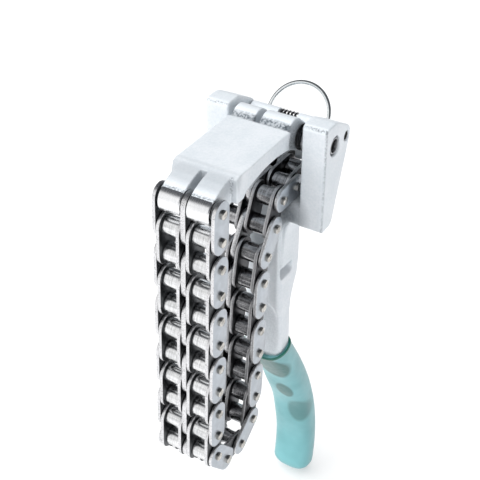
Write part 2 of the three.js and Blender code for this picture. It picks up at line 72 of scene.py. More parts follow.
# The axes of the main pin and of the pawl's pin in (Y, Z), and the lever's width at its barrel: half of it,
# and how far the barrel's right end lies from the middle.
MAIN_PIN = (65.4, 1.2)
PAWL_PIN = (76.3, 0.9)
LEVER_HALF_WIDTH = 14.7
BARREL_END = 12.7
# Points this close together, in metres, become one point.
WELD = 1e-7
# How far bodies that are joined run into each other, in millimetres.
OVERLAP = 2.0
# How far a cutting body runs past what it cuts, in millimetres.
OVERRUN = 2.0
# A profile that ends on its axis has this radius there, in millimetres.
AXIS_RADIUS = 1e-4
# Three points are in line when twice their area is below this, in square millimetres.
IN_LINE = 1e-9
# Where a rounded edge's middle ring lies, as a share of the edge's radius.
ROUND_SHARE = 0.3
# The domed end of a wire: how far out and how wide, as shares of its radius.
WIRE_DOME_SHARES = ((0.9, 0.25), (0.6, 0.75))
# The part of its range that noise mostly fills.
NOISE_MIDDLE = (0.3, 0.7)
# Noise below the first value thins a stain or a patch of painted shade out, and above the second leaves it
# whole.
STAIN_AND_SHADE_BREAK = (0.42, 0.6)
# The Mix node's sockets for two colours, and for what comes out.
MIX_COLOURS = (6, 7)
MIX_RESULT = 2

Point = tuple[float, float]
Triple = tuple[float, float, float]
Colour = Triple
Colour4 = tuple[float, float, float, float]


class Slot(Enum):
    """The record's material slots."""

    CAST = "cast_silver"
    CHAIN = "chain_steel"
    # The back strand's darker steel is painted shade.
    DARK_CHAIN = "dark_chain_steel"
    BLACK = "black_steel"
    SPRING = "spring_steel"
    WIRE = "bright_wire"
    VINYL = "teal_vinyl"


# Shapes


def place(x: float, y: float, z: float) -> Vector:
    """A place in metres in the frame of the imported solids, from millimetres off the front pin."""
    return Vector((x, y, z)) * MM + FRONT_PIN


def arc(centre: Point, radius: float, start: float, end: float, steps: int) -> list[Point]:
    """Points along an arc.

    Args:
        centre: Middle of the arc, in (Y, Z).
        radius: Radius in millimetres.
        start: First angle in degrees, counted from +Y towards +Z.
        end: Last angle in degrees.
        steps: Number of equal steps.

    Returns:
        steps + 1 points.
    """
    angles = [math.radians(start + (end - start) * i / steps) for i in range(steps + 1)]
    return [(centre[0] + radius * math.cos(a), centre[1] + radius * math.sin(a)) for a in angles]


def circle(centre: Point, radius: float, steps: int = 48) -> list[Point]:
    """Points round a whole circle, without the first one again."""
    return arc(centre, radius, 0, 360, steps)[:-1]


def hull(points: Sequence[Point]) -> list[Point]:
    """The outline of the least convex shape that holds all the points.

    Args:
        points: The points, in any order.

    Returns:
        The corners of the outline, turning left.
    """
    ordered = sorted(set(points))

    def half(run: Sequence[Point]) -> list[Point]:
        """One side of the outline.

        Args:
            run: The points in order along the side.

        Returns:
            Its corners, without the last one.
        """
        kept: list[Point] = []
        for point in run:
            while len(kept) > 1 and _turn(kept[-2], kept[-1], point) <= IN_LINE:
                kept.pop()
            kept.append(point)
        return kept[:-1]

    return half(ordered) + half(ordered[::-1])


def _turn(a: Point, b: Point, c: Point) -> float:
    """Twice the area of a, b, c: above zero where the way turns left."""
    return (b[0] - a[0]) * (c[1] - a[1]) - (b[1] - a[1]) * (c[0] - a[0])


def disc_hull(discs: Sequence[Triple]) -> list[Point]:
    """The outline round several discs, each given as (Y, Z, radius)."""
    return hull([point for y, z, radius in discs for point in circle((y, z), radius)])


def capsule(radius: float, length: float, steps: int = 14) -> list[Point]:
    """The outline of a link plate that hangs down from its first pin.

    Args:
        radius: Radius of the round ends.
        length: Distance between the two pins.
        steps: Steps round each end.

    Returns:
        The outline in (Y, Z).
    """
    return arc((0, 0), radius, 0, 180, steps) + arc((0, -length), radius, 180, 360, steps)


def mesh_from(vertices: Sequence[Vector], faces: Sequence[Sequence[int]], name: str) -> bpy.types.Mesh:
    """A mesh with its normals turned outwards.

    Args:
        vertices: Its points, in metres.
        faces: The numbers of each face's points.
        name: Name of the mesh.

    Returns:
        The mesh.
    """
    mesh = bpy.data.meshes.new(name)
    mesh.from_pydata([tuple(v) for v in vertices], [], [tuple(f) for f in faces])
    work = bmesh.new()
    work.from_mesh(mesh)
    bmesh.ops.remove_doubles(work, verts=work.verts, dist=WELD)
    bmesh.ops.recalc_face_normals(work, faces=work.faces)
    work.to_mesh(mesh)
    work.free()
    return mesh


def lofted(rings: Sequence[Sequence[Vector]], name: str, closed: bool = False) -> bpy.types.Mesh:
    """A skin over rings with equal numbers of points.

    Args:
        rings: The rings in order, in metres.
        name: Name of the mesh.
        closed: Whether the last ring joins the first; otherwise both ends are capped.

    Returns:
        The mesh.
    """
    count = len(rings[0])
    vertices = [point for ring in rings for point in ring]
    faces: list[list[int]] = []
    for i in range(len(rings) if closed else len(rings) - 1):
        here, there = i * count, ((i + 1) % len(rings)) * count
        for k in range(count):
            after = (k + 1) % count
            faces.append([here + k, here + after, there + after, there + k])
    if not closed:
        faces.append(list(range(count))[::-1])
        faces.append([len(vertices) - count + k for k in range(count)])
    return mesh_from(vertices, faces, name)


def hull_body(points: Sequence[Vector], name: str) -> bpy.types.Mesh:
    """The least convex body that holds all the points.

    Args:
        points: The points, in metres.
        name: Name of the mesh.

    Returns:
        The mesh.
    """
    mesh = bpy.data.meshes.new(name)
    work = bmesh.new()
    for point in points:
        work.verts.new(point)
    bmesh.ops.convex_hull(work, input=work.verts)
    bmesh.ops.recalc_face_normals(work, faces=work.faces)
    work.to_mesh(mesh)
    work.free()
    return mesh


def slab(outline: Sequence[Point], low: float, high: float, name: str = "slab") -> bpy.types.Mesh:
    """A (Y, Z) outline pushed out along X from low to high, off the front pin."""
    rings = [[place(x, y, z) for y, z in outline] for x in (low, high)]
    return lofted(rings, name)


def plate(
    outline_at: Callable[[float], list[Point]], low: float, high: float, edge: float
) -> list[list[Vector]]:
    """Rings of a flat plate with rounded edges, about the origin.

    Args:
        outline_at: Gives the outline drawn in by a distance.
        low: Lower X.
        high: Upper X.
        edge: Radius of the edges.

    Returns:
        The rings, in metres.
    """
    eased = edge * ROUND_SHARE
    steps = (
        (low, edge), (low + eased, eased), (low + edge, 0),
        (high - edge, 0), (high - eased, eased), (high, edge),
    )
    return [[Vector((x, y, z)) * MM for y, z in outline_at(inset)] for x, inset in steps]


def turned(profile: Sequence[Point], centre: Point, name: str, steps: int = 48) -> bpy.types.Mesh:
    """A body turned round an axis along X.

    Args:
        profile: (X, radius) pairs from one end to the other; a radius of zero closes an end.
        centre: The axis in (Y, Z), off the origin.
        name: Name of the mesh.
        steps: Points round.

    Returns:
        The mesh, about the origin in metres.
    """
    rings = [
        [Vector((x, y, z)) * MM for y, z in circle(centre, max(radius, AXIS_RADIUS), steps)]
        for x, radius in profile
    ]
    closed = profile[0] == profile[-1]
    return lofted(rings[:-1] if closed else rings, name, closed)


def tube(points: Sequence[Vector], radius: float, name: str, sides: int = 16) -> bpy.types.Mesh:
    """A round wire along points, with domed ends.

    Args:
        points: The middle line, in metres.
        radius: Radius of the wire, in millimetres.
        name: Name of the mesh.
        sides: Points round the wire.

    Returns:
        The mesh.
    """
    rings: list[list[Vector]] = []
    tangents = [
        (points[min(i + 1, len(points) - 1)] - points[max(i - 1, 0)]).normalized() for i in range(len(points))
    ]
    across = tangents[0].orthogonal().normalized()
    for i, (point, along) in enumerate(zip(points, tangents)):
        across = (across - along * across.dot(along)).normalized()
        other = along.cross(across)
        shares = [(0.0, 1.0)]
        if i == 0:
            shares = [(-out, wide) for out, wide in WIRE_DOME_SHARES] + shares
        elif i == len(points) - 1:
            shares += WIRE_DOME_SHARES[::-1]
        for ahead, wide in shares:
            middle = point + along * radius * MM * ahead
            angles = [FULL_TURN * k / sides for k in range(sides)]
            rings.append([
                middle + (across * math.cos(a) + other * math.sin(a)) * radius * MM * wide for a in angles
            ])
    return lofted(rings, name)


def joined(meshes: Sequence[bpy.types.Mesh], name: str) -> bpy.types.Mesh:
    """Several meshes as one, with their faces kept. The meshes are removed.

    Args:
        meshes: The meshes.
        name: Name of the new mesh.

    Returns:
        The new mesh.
    """
    work = bmesh.new()
    for mesh in meshes:
        work.from_mesh(mesh)
        bpy.data.meshes.remove(mesh)
    result = bpy.data.meshes.new(name)
    work.to_mesh(result)
    work.free()
    return result


def shade(mesh: bpy.types.Mesh, sharp_above: float = 35) -> None:
    """Smooth shading, with edges that bend by more than an angle in degrees kept sharp."""
    mesh.polygons.foreach_set("use_smooth", [True] * len(mesh.polygons))
    mesh.set_sharp_from_angle(angle=math.radians(sharp_above))


def new_object(name: str, mesh: bpy.types.Mesh) -> bpy.types.Object:
    """An object in the scene.

    Args:
        name: Its name.
        mesh: The mesh that it holds.

    Returns:
        The object.
    """
    piece = bpy.data.objects.new(name, mesh)
    bpy.context.scene.collection.objects.link(piece)
    return piece


def evaluated(piece: bpy.types.Object, name: str) -> bpy.types.Mesh:
    """The mesh of an object with its modifiers applied. The object is removed.

    Args:
        piece: The object.
        name: Name of the new mesh.

    Returns:
        The new mesh.
    """
    bpy.context.view_layer.update()
    graph = bpy.context.evaluated_depsgraph_get()
    mesh = bpy.data.meshes.new_from_object(piece.evaluated_get(graph))
    mesh.name = name
    old = piece.data
    bpy.data.objects.remove(piece)
    bpy.data.meshes.remove(old)
    return mesh


@dataclass
class Casting:
    """A cast or forged body, made of bodies added and cut away, with softened edges.

    voxel is the grain of its skin in millimetres, and rounds and smoothing say how far its edges are eased.
    """

    name: str
    voxel: float
    rounds: int
    smoothing: float = 0.5
    added: list[bpy.types.Mesh] = field(default_factory=list)
    cuts: list[bpy.types.Mesh] = field(default_factory=list)

    def add(self, mesh: bpy.types.Mesh) -> None:
        """Adds a body."""
        self.added.append(mesh)

    def cut(self, mesh: bpy.types.Mesh) -> None:
        """Cuts a body away."""
        self.cuts.append(mesh)

    def combined(self) -> bpy.types.Mesh:
        """Joins and cuts the bodies.

        Returns:
            The mesh, with sharp edges.
        """
        body = new_object(self.name, self.added[0])
        others = [(mesh, "UNION") for mesh in self.added[1:]] + [(mesh, "DIFFERENCE") for mesh in self.cuts]
        tools = []
        for mesh, operation in others:
            tool = new_object(f"{self.name}_tool", mesh)
            step = body.modifiers.new(operation.lower(), "BOOLEAN")
            step.operation = operation
            step.solver = "EXACT"
            step.object = tool
            tools.append(tool)
        mesh = evaluated(body, self.name)
        for tool in tools:
            data = tool.data
            bpy.data.objects.remove(tool)
            bpy.data.meshes.remove(data)
        return mesh

    def softened(self) -> bpy.types.Mesh:
        """Rounds the edges of the body as a casting's are.

        Returns:
            The mesh.
        """
        body = new_object(self.name, self.combined())
        remesh = body.modifiers.new("skin", "REMESH")
        remesh.mode = "VOXEL"
        remesh.voxel_size = self.voxel * MM
        remesh.use_smooth_shade = True
        smooth = body.modifiers.new("soft_edges", "SMOOTH")
        smooth.factor = self.smoothing
        smooth.iterations = self.rounds
        mesh = evaluated(body, self.name)
        mesh.polygons.foreach_set("use_smooth", [True] * len(mesh.polygons))
        return mesh


# Finishes


class Graph:
    """The nodes of one material."""

    def __init__(self, name: str) -> None:
        """Starts a material with one Principled shader.

        Args:
            name: Name of the material.
        """
        self.material = bpy.data.materials.new(name)
        self.material.use_nodes = True
        self.tree = self.material.node_tree
        self.shader = self.tree.nodes["Principled BSDF"]
        self.where = self.tree.nodes.new("ShaderNodeTexCoord").outputs["Object"]

    def node(self, kind: str, inputs: dict | None = None, **settings: object) -> bpy.types.Node:
        """A node with its settings and inputs.

        Args:
            kind: Blender's name of the node type.
            inputs: Values or sockets by input name or number.
            settings: Properties of the node.

        Returns:
            The node.
        """
        made = self.tree.nodes.new(kind)
        for key, value in settings.items():
            setattr(made, key, value)
        for key, value in (inputs or {}).items():
            if isinstance(value, bpy.types.NodeSocket):
                self.tree.links.new(value, made.inputs[key])
            else:
                made.inputs[key].default_value = value
        return made

    def noise(self, scale: float, detail: float = 2, stretch: Triple = (1, 1, 1)) -> bpy.types.NodeSocket:
        """Noise in the object's own space.

        Args:
            scale: Waves per metre.
            detail: Layers of finer noise.
            stretch: How densely it lies along each axis.

        Returns:
            The socket of its value.
        """
        mapped = self.node("ShaderNodeMapping", {"Vector": self.where, "Scale": stretch})
        inputs = {"Vector": mapped.outputs[0], "Scale": scale, "Detail": detail}
        return self.node("ShaderNodeTexNoise", inputs).outputs["Fac"]

    def levels(self, value: bpy.types.NodeSocket, low: float, high: float, to: Point) -> bpy.types.NodeSocket:
        """A value spread from one range to another, held at its ends.

        Args:
            value: The value.
            low: What becomes the first end.
            high: What becomes the second end.
            to: The two ends.

        Returns:
            The socket of the new value.
        """
        made = self.node("ShaderNodeMapRange", {
            "Value": value, "From Min": low, "From Max": high, "To Min": to[0], "To Max": to[1],
        })
        return made.outputs[0]

    def maths(self, operation: str, *values: object) -> bpy.types.NodeSocket:
        """One step of arithmetic."""
        return self.node("ShaderNodeMath", dict(enumerate(values)), operation=operation).outputs[0]

    def mix(self, share: object, first: object, second: object) -> bpy.types.NodeSocket:
        """A colour between two others.

        Args:
            share: The second one's share, a value or a socket.
            first: The first colour, or its socket.
            second: The second colour, or its socket.

        Returns:
            The socket of the mixed colour.
        """
        made = self.node("ShaderNodeMix", {0: share}, data_type="RGBA")
        for number, value in zip(MIX_COLOURS, (first, second)):
            if isinstance(value, bpy.types.NodeSocket):
                self.tree.links.new(value, made.inputs[number])
            else:
                made.inputs[number].default_value = (*value, 1)
        return made.outputs[MIX_RESULT]

    def vector(self, operation: str, first: object, second: object) -> bpy.types.Node:
        """One step of arithmetic with vectors."""
        return self.node("ShaderNodeVectorMath", {0: first, 1: second}, operation=operation)

    def streak(self, streak: "Streak") -> bpy.types.NodeSocket:
        """How strong a stain or a patch of painted shade is at each place: its strength in its core, and 0
        beyond its radius.

        Args:
            streak: The stain or patch of painted shade.

        Returns:
            The socket of the share.
        """
        away = self.vector("SUBTRACT", self.where, Vector(streak.centre) * MM + FRONT_PIN).outputs[0]
        near = self.vector("MULTIPLY", away, streak.shrink).outputs[0]
        distance = self.node("ShaderNodeVectorMath", {0: near}, operation="LENGTH").outputs["Value"]
        radius = streak.radius * MM
        core = self.levels(distance, radius * streak.core, radius, (1, 0))
        broken = self.levels(self.noise(streak.grain, detail=3), *STAIN_AND_SHADE_BREAK, (streak.ground, 1))
        return self.maths("MULTIPLY", self.maths("MULTIPLY", core, broken), streak.strength)

    def bump(self, height: bpy.types.NodeSocket, depth: float, strength: float = 1.0) -> None:
        """Small relief of a depth in millimetres."""
        made = self.node("ShaderNodeBump", {"Height": height, "Distance": depth * MM, "Strength": strength})
        self.tree.links.new(made.outputs[0], self.shader.inputs["Normal"])

    def feed(self, name: str, value: object) -> None:
        """Sets or links one of the shader's own inputs.

        Args:
            name: Blender's name of the input.
            value: Its value, or the socket that feeds it.
        """
        if isinstance(value, bpy.types.NodeSocket):
            self.tree.links.new(value, self.shader.inputs[name])
        else:
            self.shader.inputs[name].default_value = value


@dataclass(frozen=True)
class Streak:
    """A dark mark: a broken line, a stain, or a patch of painted shade.

    shrink weighs the distance along X, Y and Z: zero along the line's own direction.
    ground is the share of the mark that noise leaves unbroken, 1 for a soft even shade.
    core is the share of the radius in which the stain is full.
    """

    centre: Triple
    radius: float
    shrink: Triple = (0, 1, 1)
    strength: float = 0.8
    grain: float = 1500
    ground: float = 0.0
    core: float = 0.2


@dataclass(frozen=True)
class CastMetal:
    """Satin plated casting: a mottled coat, fine grain, dark stains along its edges, and patches of painted
    shade.
    """

    name: str
    light: Colour = (0.78, 0.815, 0.85)
    dull: Colour = (0.69, 0.74, 0.78)
    fleck: Colour = (0.10, 0.12, 0.14)
    clouds: float = 90
    mottle: float = 1000
    mottle_range: Point = (0.75, 1.25)
    metallic: float = 0.25
    roughness: Point = (0.34, 0.5)
    grain: float = 2600
    grain_depth: float = 0.05
    grain_strength: float = 0.6
    streaks: tuple[Streak, ...] = ()

    def build(self) -> bpy.types.Material:
        """Makes the material.

        Returns:
            The material.
        """
        graph = Graph(self.name)
        mottle = graph.maths("ADD", graph.noise(self.clouds, detail=3), graph.noise(self.mottle, detail=3))
        ground = graph.mix(graph.levels(mottle, *self.mottle_range, (0, 1)), self.light, self.dull)
        # Each streak mixes in the fleck colour: dark lines and stains, and painted shade.
        for streak in self.streaks:
            ground = graph.mix(graph.streak(streak), ground, self.fleck)
        graph.feed("Base Color", ground)
        grain = graph.noise(self.grain, detail=3)
        graph.feed("Roughness", graph.levels(grain, *NOISE_MIDDLE, self.roughness))
        graph.feed("Metallic", self.metallic)
        graph.bump(grain, self.grain_depth, self.grain_strength)
        return graph.material


@dataclass(frozen=True)
class TurnedMetal:
    """Machined or polished steel with fine marks that run round the axis along X."""

    name: str
    light: Colour
    dark: Colour
    roughness: Point = (0.12, 0.26)
    marks: float = 4200
    mark_stretch: Triple = (1, 0.04, 0.04)
    mark_depth: float = 0.012
    mark_strength: float = 0.5
    clouds: float = 700
    cloud_stretch: Triple = (0.12, 1, 1)
    dark_range: Point = (0.8, 1.25)

    def build(self) -> bpy.types.Material:
        """Makes the material.

        Returns:
            The material.
        """
        graph = Graph(self.name)
        lines = graph.noise(self.marks, stretch=self.mark_stretch)
        cloud = graph.noise(self.clouds, stretch=self.cloud_stretch)
        share = graph.levels(graph.maths("ADD", lines, cloud), *self.dark_range, (0, 1))
        graph.feed("Base Color", graph.mix(share, self.light, self.dark))
        graph.feed("Roughness", graph.levels(lines, *NOISE_MIDDLE, self.roughness))
        graph.feed("Metallic", 1.0)
        graph.bump(lines, self.mark_depth, self.mark_strength)
        return graph.material


@dataclass(frozen=True)
class PlateMetal:
    """Stamped link plate: a satin outer face, inner faces painted dark as the shade between the plates, and
    bright tumbled rims.

    A flat face that lies further out along X than outermost, in millimetres, is an outer one.
    flat_range holds how squarely a surface faces X where the rim turns into the flat.
    """

    name: str
    face: Colour = (0.50, 0.535, 0.575)
    # Painted shade for the faces inside the chain.
    inner: Colour = (0.10, 0.105, 0.11)
    rim: Colour = (0.86, 0.86, 0.87)
    fleck: Colour = (0.25, 0.25, 0.26)
    outermost: float = 14.0
    flat_range: Point = (0.75, 0.97)
    clouds: float = 300
    cloud_range: Point = (0.4, 0.7)
    cloud_shares: Point = (0.85, 1.0)
    grime_share: float = 0.8
    flecks: float = 2400
    fleck_range: Point = (0.52, 0.66)
    fleck_shares: Point = (0, 0.7)
    roughness: Point = (0.3, 0.45)
    grain: float = 3200
    grain_depth: float = 0.02
    grain_strength: float = 0.35

    def build(self) -> bpy.types.Material:
        """Makes the material.

        Returns:
            The material.
        """
        graph = Graph(self.name)
        normal = graph.node("ShaderNodeTexCoord").outputs["Normal"]
        across = graph.node("ShaderNodeSeparateXYZ", {0: normal}).outputs[0]
        flat = graph.levels(graph.maths("ABSOLUTE", across), *self.flat_range, (0, 1))
        aside = graph.node("ShaderNodeSeparateXYZ", {0: graph.where}).outputs[0]
        outside = graph.maths("GREATER_THAN", graph.maths("ABSOLUTE", aside), self.outermost * MM)
        cloud = graph.levels(graph.noise(self.clouds, detail=4), *self.cloud_range, self.cloud_shares)
        # Painted shade: faces inside the chain take the dark inner colour.
        face = graph.mix(outside, self.inner, self.face)
        flecks = graph.levels(graph.noise(self.flecks), *self.fleck_range, self.fleck_shares)
        ground = graph.mix(flat, graph.mix(flecks, self.rim, self.fleck), face)
        grime = tuple(c * self.grime_share for c in self.inner)
        graph.feed("Base Color", graph.mix(cloud, grime, ground))
        grain = graph.noise(self.grain)
        graph.feed("Roughness", graph.levels(grain, *NOISE_MIDDLE, self.roughness))
        graph.feed("Metallic", 1.0)
        graph.bump(grain, self.grain_depth, self.grain_strength)
        return graph.material


@dataclass(frozen=True)
class Vinyl:
    """Dipped vinyl with slow clouds in its colour, patches of painted shade and a faint orange-peel skin."""

    name: str
    light: Colour = (0.185, 0.455, 0.485)
    deep: Colour = (0.14, 0.37, 0.395)
    # The colour of the painted shade in the finger grooves.
    groove_shade: Colour = (0.03, 0.12, 0.11)
    clouds: float = 60
    cloud_range: Point = (0.35, 0.7)
    roughness: Point = (0.3, 0.42)
    gloss_clouds: float = 400
    refraction: float = 1.4
    coat: float = 0.15
    coat_roughness: float = 0.2
    peel: float = 380
    peel_depth: float = 0.04
    peel_strength: float = 0.3
    shade_patches: tuple[Streak, ...] = ()

    def build(self) -> bpy.types.Material:
        """Makes the material.

        Returns:
            The material.
        """
        graph = Graph(self.name)
        cloud = graph.levels(graph.noise(self.clouds), *self.cloud_range, (0, 1))
        ground = graph.mix(cloud, self.light, self.deep)
        # Painted shade: each patch darkens the grip where a finger groove faces down, away from the light.
        for shade_patch in self.shade_patches:
            ground = graph.mix(graph.streak(shade_patch), ground, self.groove_shade)
        graph.feed("Base Color", ground)
        graph.feed("Roughness", graph.levels(graph.noise(self.gloss_clouds), *NOISE_MIDDLE, self.roughness))
        graph.feed("IOR", self.refraction)
        graph.feed("Coat Weight", self.coat)
        graph.feed("Coat Roughness", self.coat_roughness)
        graph.bump(graph.noise(self.peel), self.peel_depth, self.peel_strength)
        return graph.material


# Dark marks on the head: both cheeks' front top edges and the right one's outer and inner front edges; then
# the chain's painted shadow on the floor's right corner, painted shade in the pocket in the tang, and the
# chain's painted shadow on the front of the neck.
HEAD_STREAKS = (
    Streak((25.0, 57.3, 11.4), 1.1, (0.1, 1, 1), 0.85, 1300, 0.35),
    Streak((-23.4, 57.3, 11.4), 1.0, (0.1, 1, 1), 0.7, 1300, 0.2),
    Streak((28.7, 57.2, -12), 0.85, (1, 1, 0), 0.75, 1300, 0.4),
    Streak((18.0, 56.9, -12), 0.6, (1, 1, 0), 0.5),
    # Painted shadow: the chain's shadow on the floor's right corner.
    Streak((12.5, 56.6, -34), 11.5, (1, 1, 0.8), 0.85, 900, 0.9),
    # Painted shade, speckled, in the pocket in the tang.
    Streak((0, 57.5, -107), 9.6, (1, 0.3, 0.45), 0.22, 1900, 0.4, 0.85),
    # Painted shadow: the chain's shadow on the front of the neck.
    Streak((-2, 56.6, -50), 12, (1.2, 0.6, 0.5), 0.75, 900, 0.95),
)
# Dark marks on the lever: the foot of the nose; a speckled band in the crease in front of the barrel, with
# painted shade under the speckles; painted shade in its dimple; the right end of the shoulder; a speckled
# patch with painted shade on the right side by the barrel, beside the spacer; and painted shade on the slope
# of the nose.
LEVER_STREAKS = (
    Streak((0, -1.3, 5.5), 1.1, strength=0.85, ground=0.15),
    # Speckled band in the crease, with an even painted shade under the speckles.
    Streak((6, 54.9, 9.9), 2.6, (0.05, 1, 1), 0.95, 1000, 0.5, 0.4),
    # Painted shade in the dimple.
    Streak((11.6, 55.1, 9.9), 1.4, (1, 1, 1), 0.9, 1000, 0.9, 0.6),
    Streak((12.2, 10.3, 9), 1.2, (1, 1, 0.12), 0.9),
    # Speckled patch with painted shade on the right side, beside the spacer.
    Streak((14.7, 58, 0), 12, (1, 1, 1), 0.85, 1500, 0.5, 0.35),
    # Painted shade: darkens the slope of the nose, which faces the lamps.
    Streak((0, 7, 8.8), 8, (0.1, 1, 1), 0.33, 900, 1, 0.5),
)
# Three patches of painted shade down the front of the grip, where its finger grooves face down.
GRIP_SHADE_PATCHES = (
    Streak((1.5, 64.5, -137), 10.5, (1, 0.75, 0.65), 0.92, 300, 1, 0.84),
    Streak((2.5, 78.2, -165), 5.4, (1, 0.55, 0.6), 0.85, 300, 1, 0.8),
    Streak((7, 88, -186), 7, (1, 0.55, 0.6), 0.55, 300, 1, 0.75),
)


@dataclass(frozen=True)
class StudioPaper:
    """Pale paper under the wrench."""

    name: str = "studio_paper"
    colour: Colour = (0.5, 0.5, 0.503)
    clouds: float = 3
    cloud_share: float = 0.985
    roughness: float = 0.9
    glow: float = 0.45

    def build(self) -> bpy.types.Material:
        """Makes the material.

        Returns:
            The material.
        """
        graph = Graph(self.name)
        tone = graph.levels(graph.noise(self.clouds), *NOISE_MIDDLE, (0, 1))
        cloudy = tuple(c * self.cloud_share for c in self.colour)
        graph.feed("Base Color", graph.mix(tone, self.colour, cloudy))
        graph.feed("Roughness", self.roughness)
        graph.feed("Emission Color", (1, 1, 1, 1))
        graph.feed("Emission Strength", self.glow)
        return graph.material


class Finishes:
    """All the materials of the wrench, made once."""

    def __init__(self) -> None:
        """Builds every material."""
        self.cast = CastMetal("satin_casting", streaks=HEAD_STREAKS).build()
        self.lever = CastMetal("satin_lever", streaks=LEVER_STREAKS).build()
        self.machined = TurnedMetal(
            "machined_knuckle", light=(0.97, 0.975, 0.98), dark=(0.82, 0.83, 0.85), roughness=(0.22, 0.34)
        ).build()
        self.roller = TurnedMetal(
            "bright_roller", light=(0.86, 0.865, 0.87), dark=(0.55, 0.555, 0.56)
        ).build()
        # Darker copy of the roller steel for the back strand: painted shade.
        self.painted_shade_roller = TurnedMetal(
            "painted_shade_roller", light=(0.5, 0.5, 0.51), dark=(0.14, 0.14, 0.145), roughness=(0.12, 0.26)
        ).build()
        self.pin_head = TurnedMetal("pin_head", light=(0.62, 0.6, 0.56), dark=(0.3, 0.29, 0.27)).build()
        self.plate = PlateMetal("outer_plate").build()
        self.inner_plate = PlateMetal("inner_plate").build()
        # Darker copy of the plate for the back strand: painted shade.
        self.painted_shade_plate = PlateMetal("painted_shade_plate", inner=(0.06, 0.06, 0.065), rim=(0.6, 0.6, 0.61)).build()
        self.black = TurnedMetal(
            "black_pin", light=(0.05, 0.05, 0.052), dark=(0.02, 0.02, 0.021), roughness=(0.2, 0.35)
        ).build()
        self.wire = TurnedMetal(
            "ring_wire", light=(0.86, 0.89, 0.9), dark=(0.7, 0.74, 0.75), roughness=(0.08, 0.16)
        ).build()
        self.spring = TurnedMetal("spring_wire", light=(0.3, 0.3, 0.31), dark=(0.12, 0.12, 0.125)).build()
        self.vinyl = Vinyl("teal_vinyl_skin", shade_patches=GRIP_SHADE_PATCHES).build()
        self.lip = Vinyl(
            "vinyl_lip", light=(0.03, 0.2, 0.15), deep=(0.015, 0.12, 0.09), roughness=(0.12, 0.2)
        ).build()
        self.washer = TurnedMetal(
            "grey_washer", light=(0.4, 0.41, 0.43), dark=(0.22, 0.225, 0.23), roughness=(0.25, 0.4)
        ).build()
        # Near-black rough finish: painted shade for the inside of the main pin's bore and the slit in the
        # pawl's pin.
        self.bore = TurnedMetal(
            "bore_shade", light=(0.03, 0.03, 0.031), dark=(0.012, 0.012, 0.012), roughness=(0.7, 0.9)
        ).build()


def dress(
    piece: bpy.types.Object,
    body: str,
    material: bpy.types.Material,
    nodes: Sequence[str] = (),
) -> None:
    """Gives a piece its material, its body and the solids it stands for.

    Args:
        piece: The piece, in place.
        body: Name of the body it rides on.
        material: Its material.
        nodes: Names of the solids it replaces.
    """
    piece.data.materials.clear()
    piece.data.materials.append(material)
    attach(piece, body)
    if nodes:
        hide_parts(*nodes)
    LOG.info("%s rides on %s", piece.name, body)


# Chain


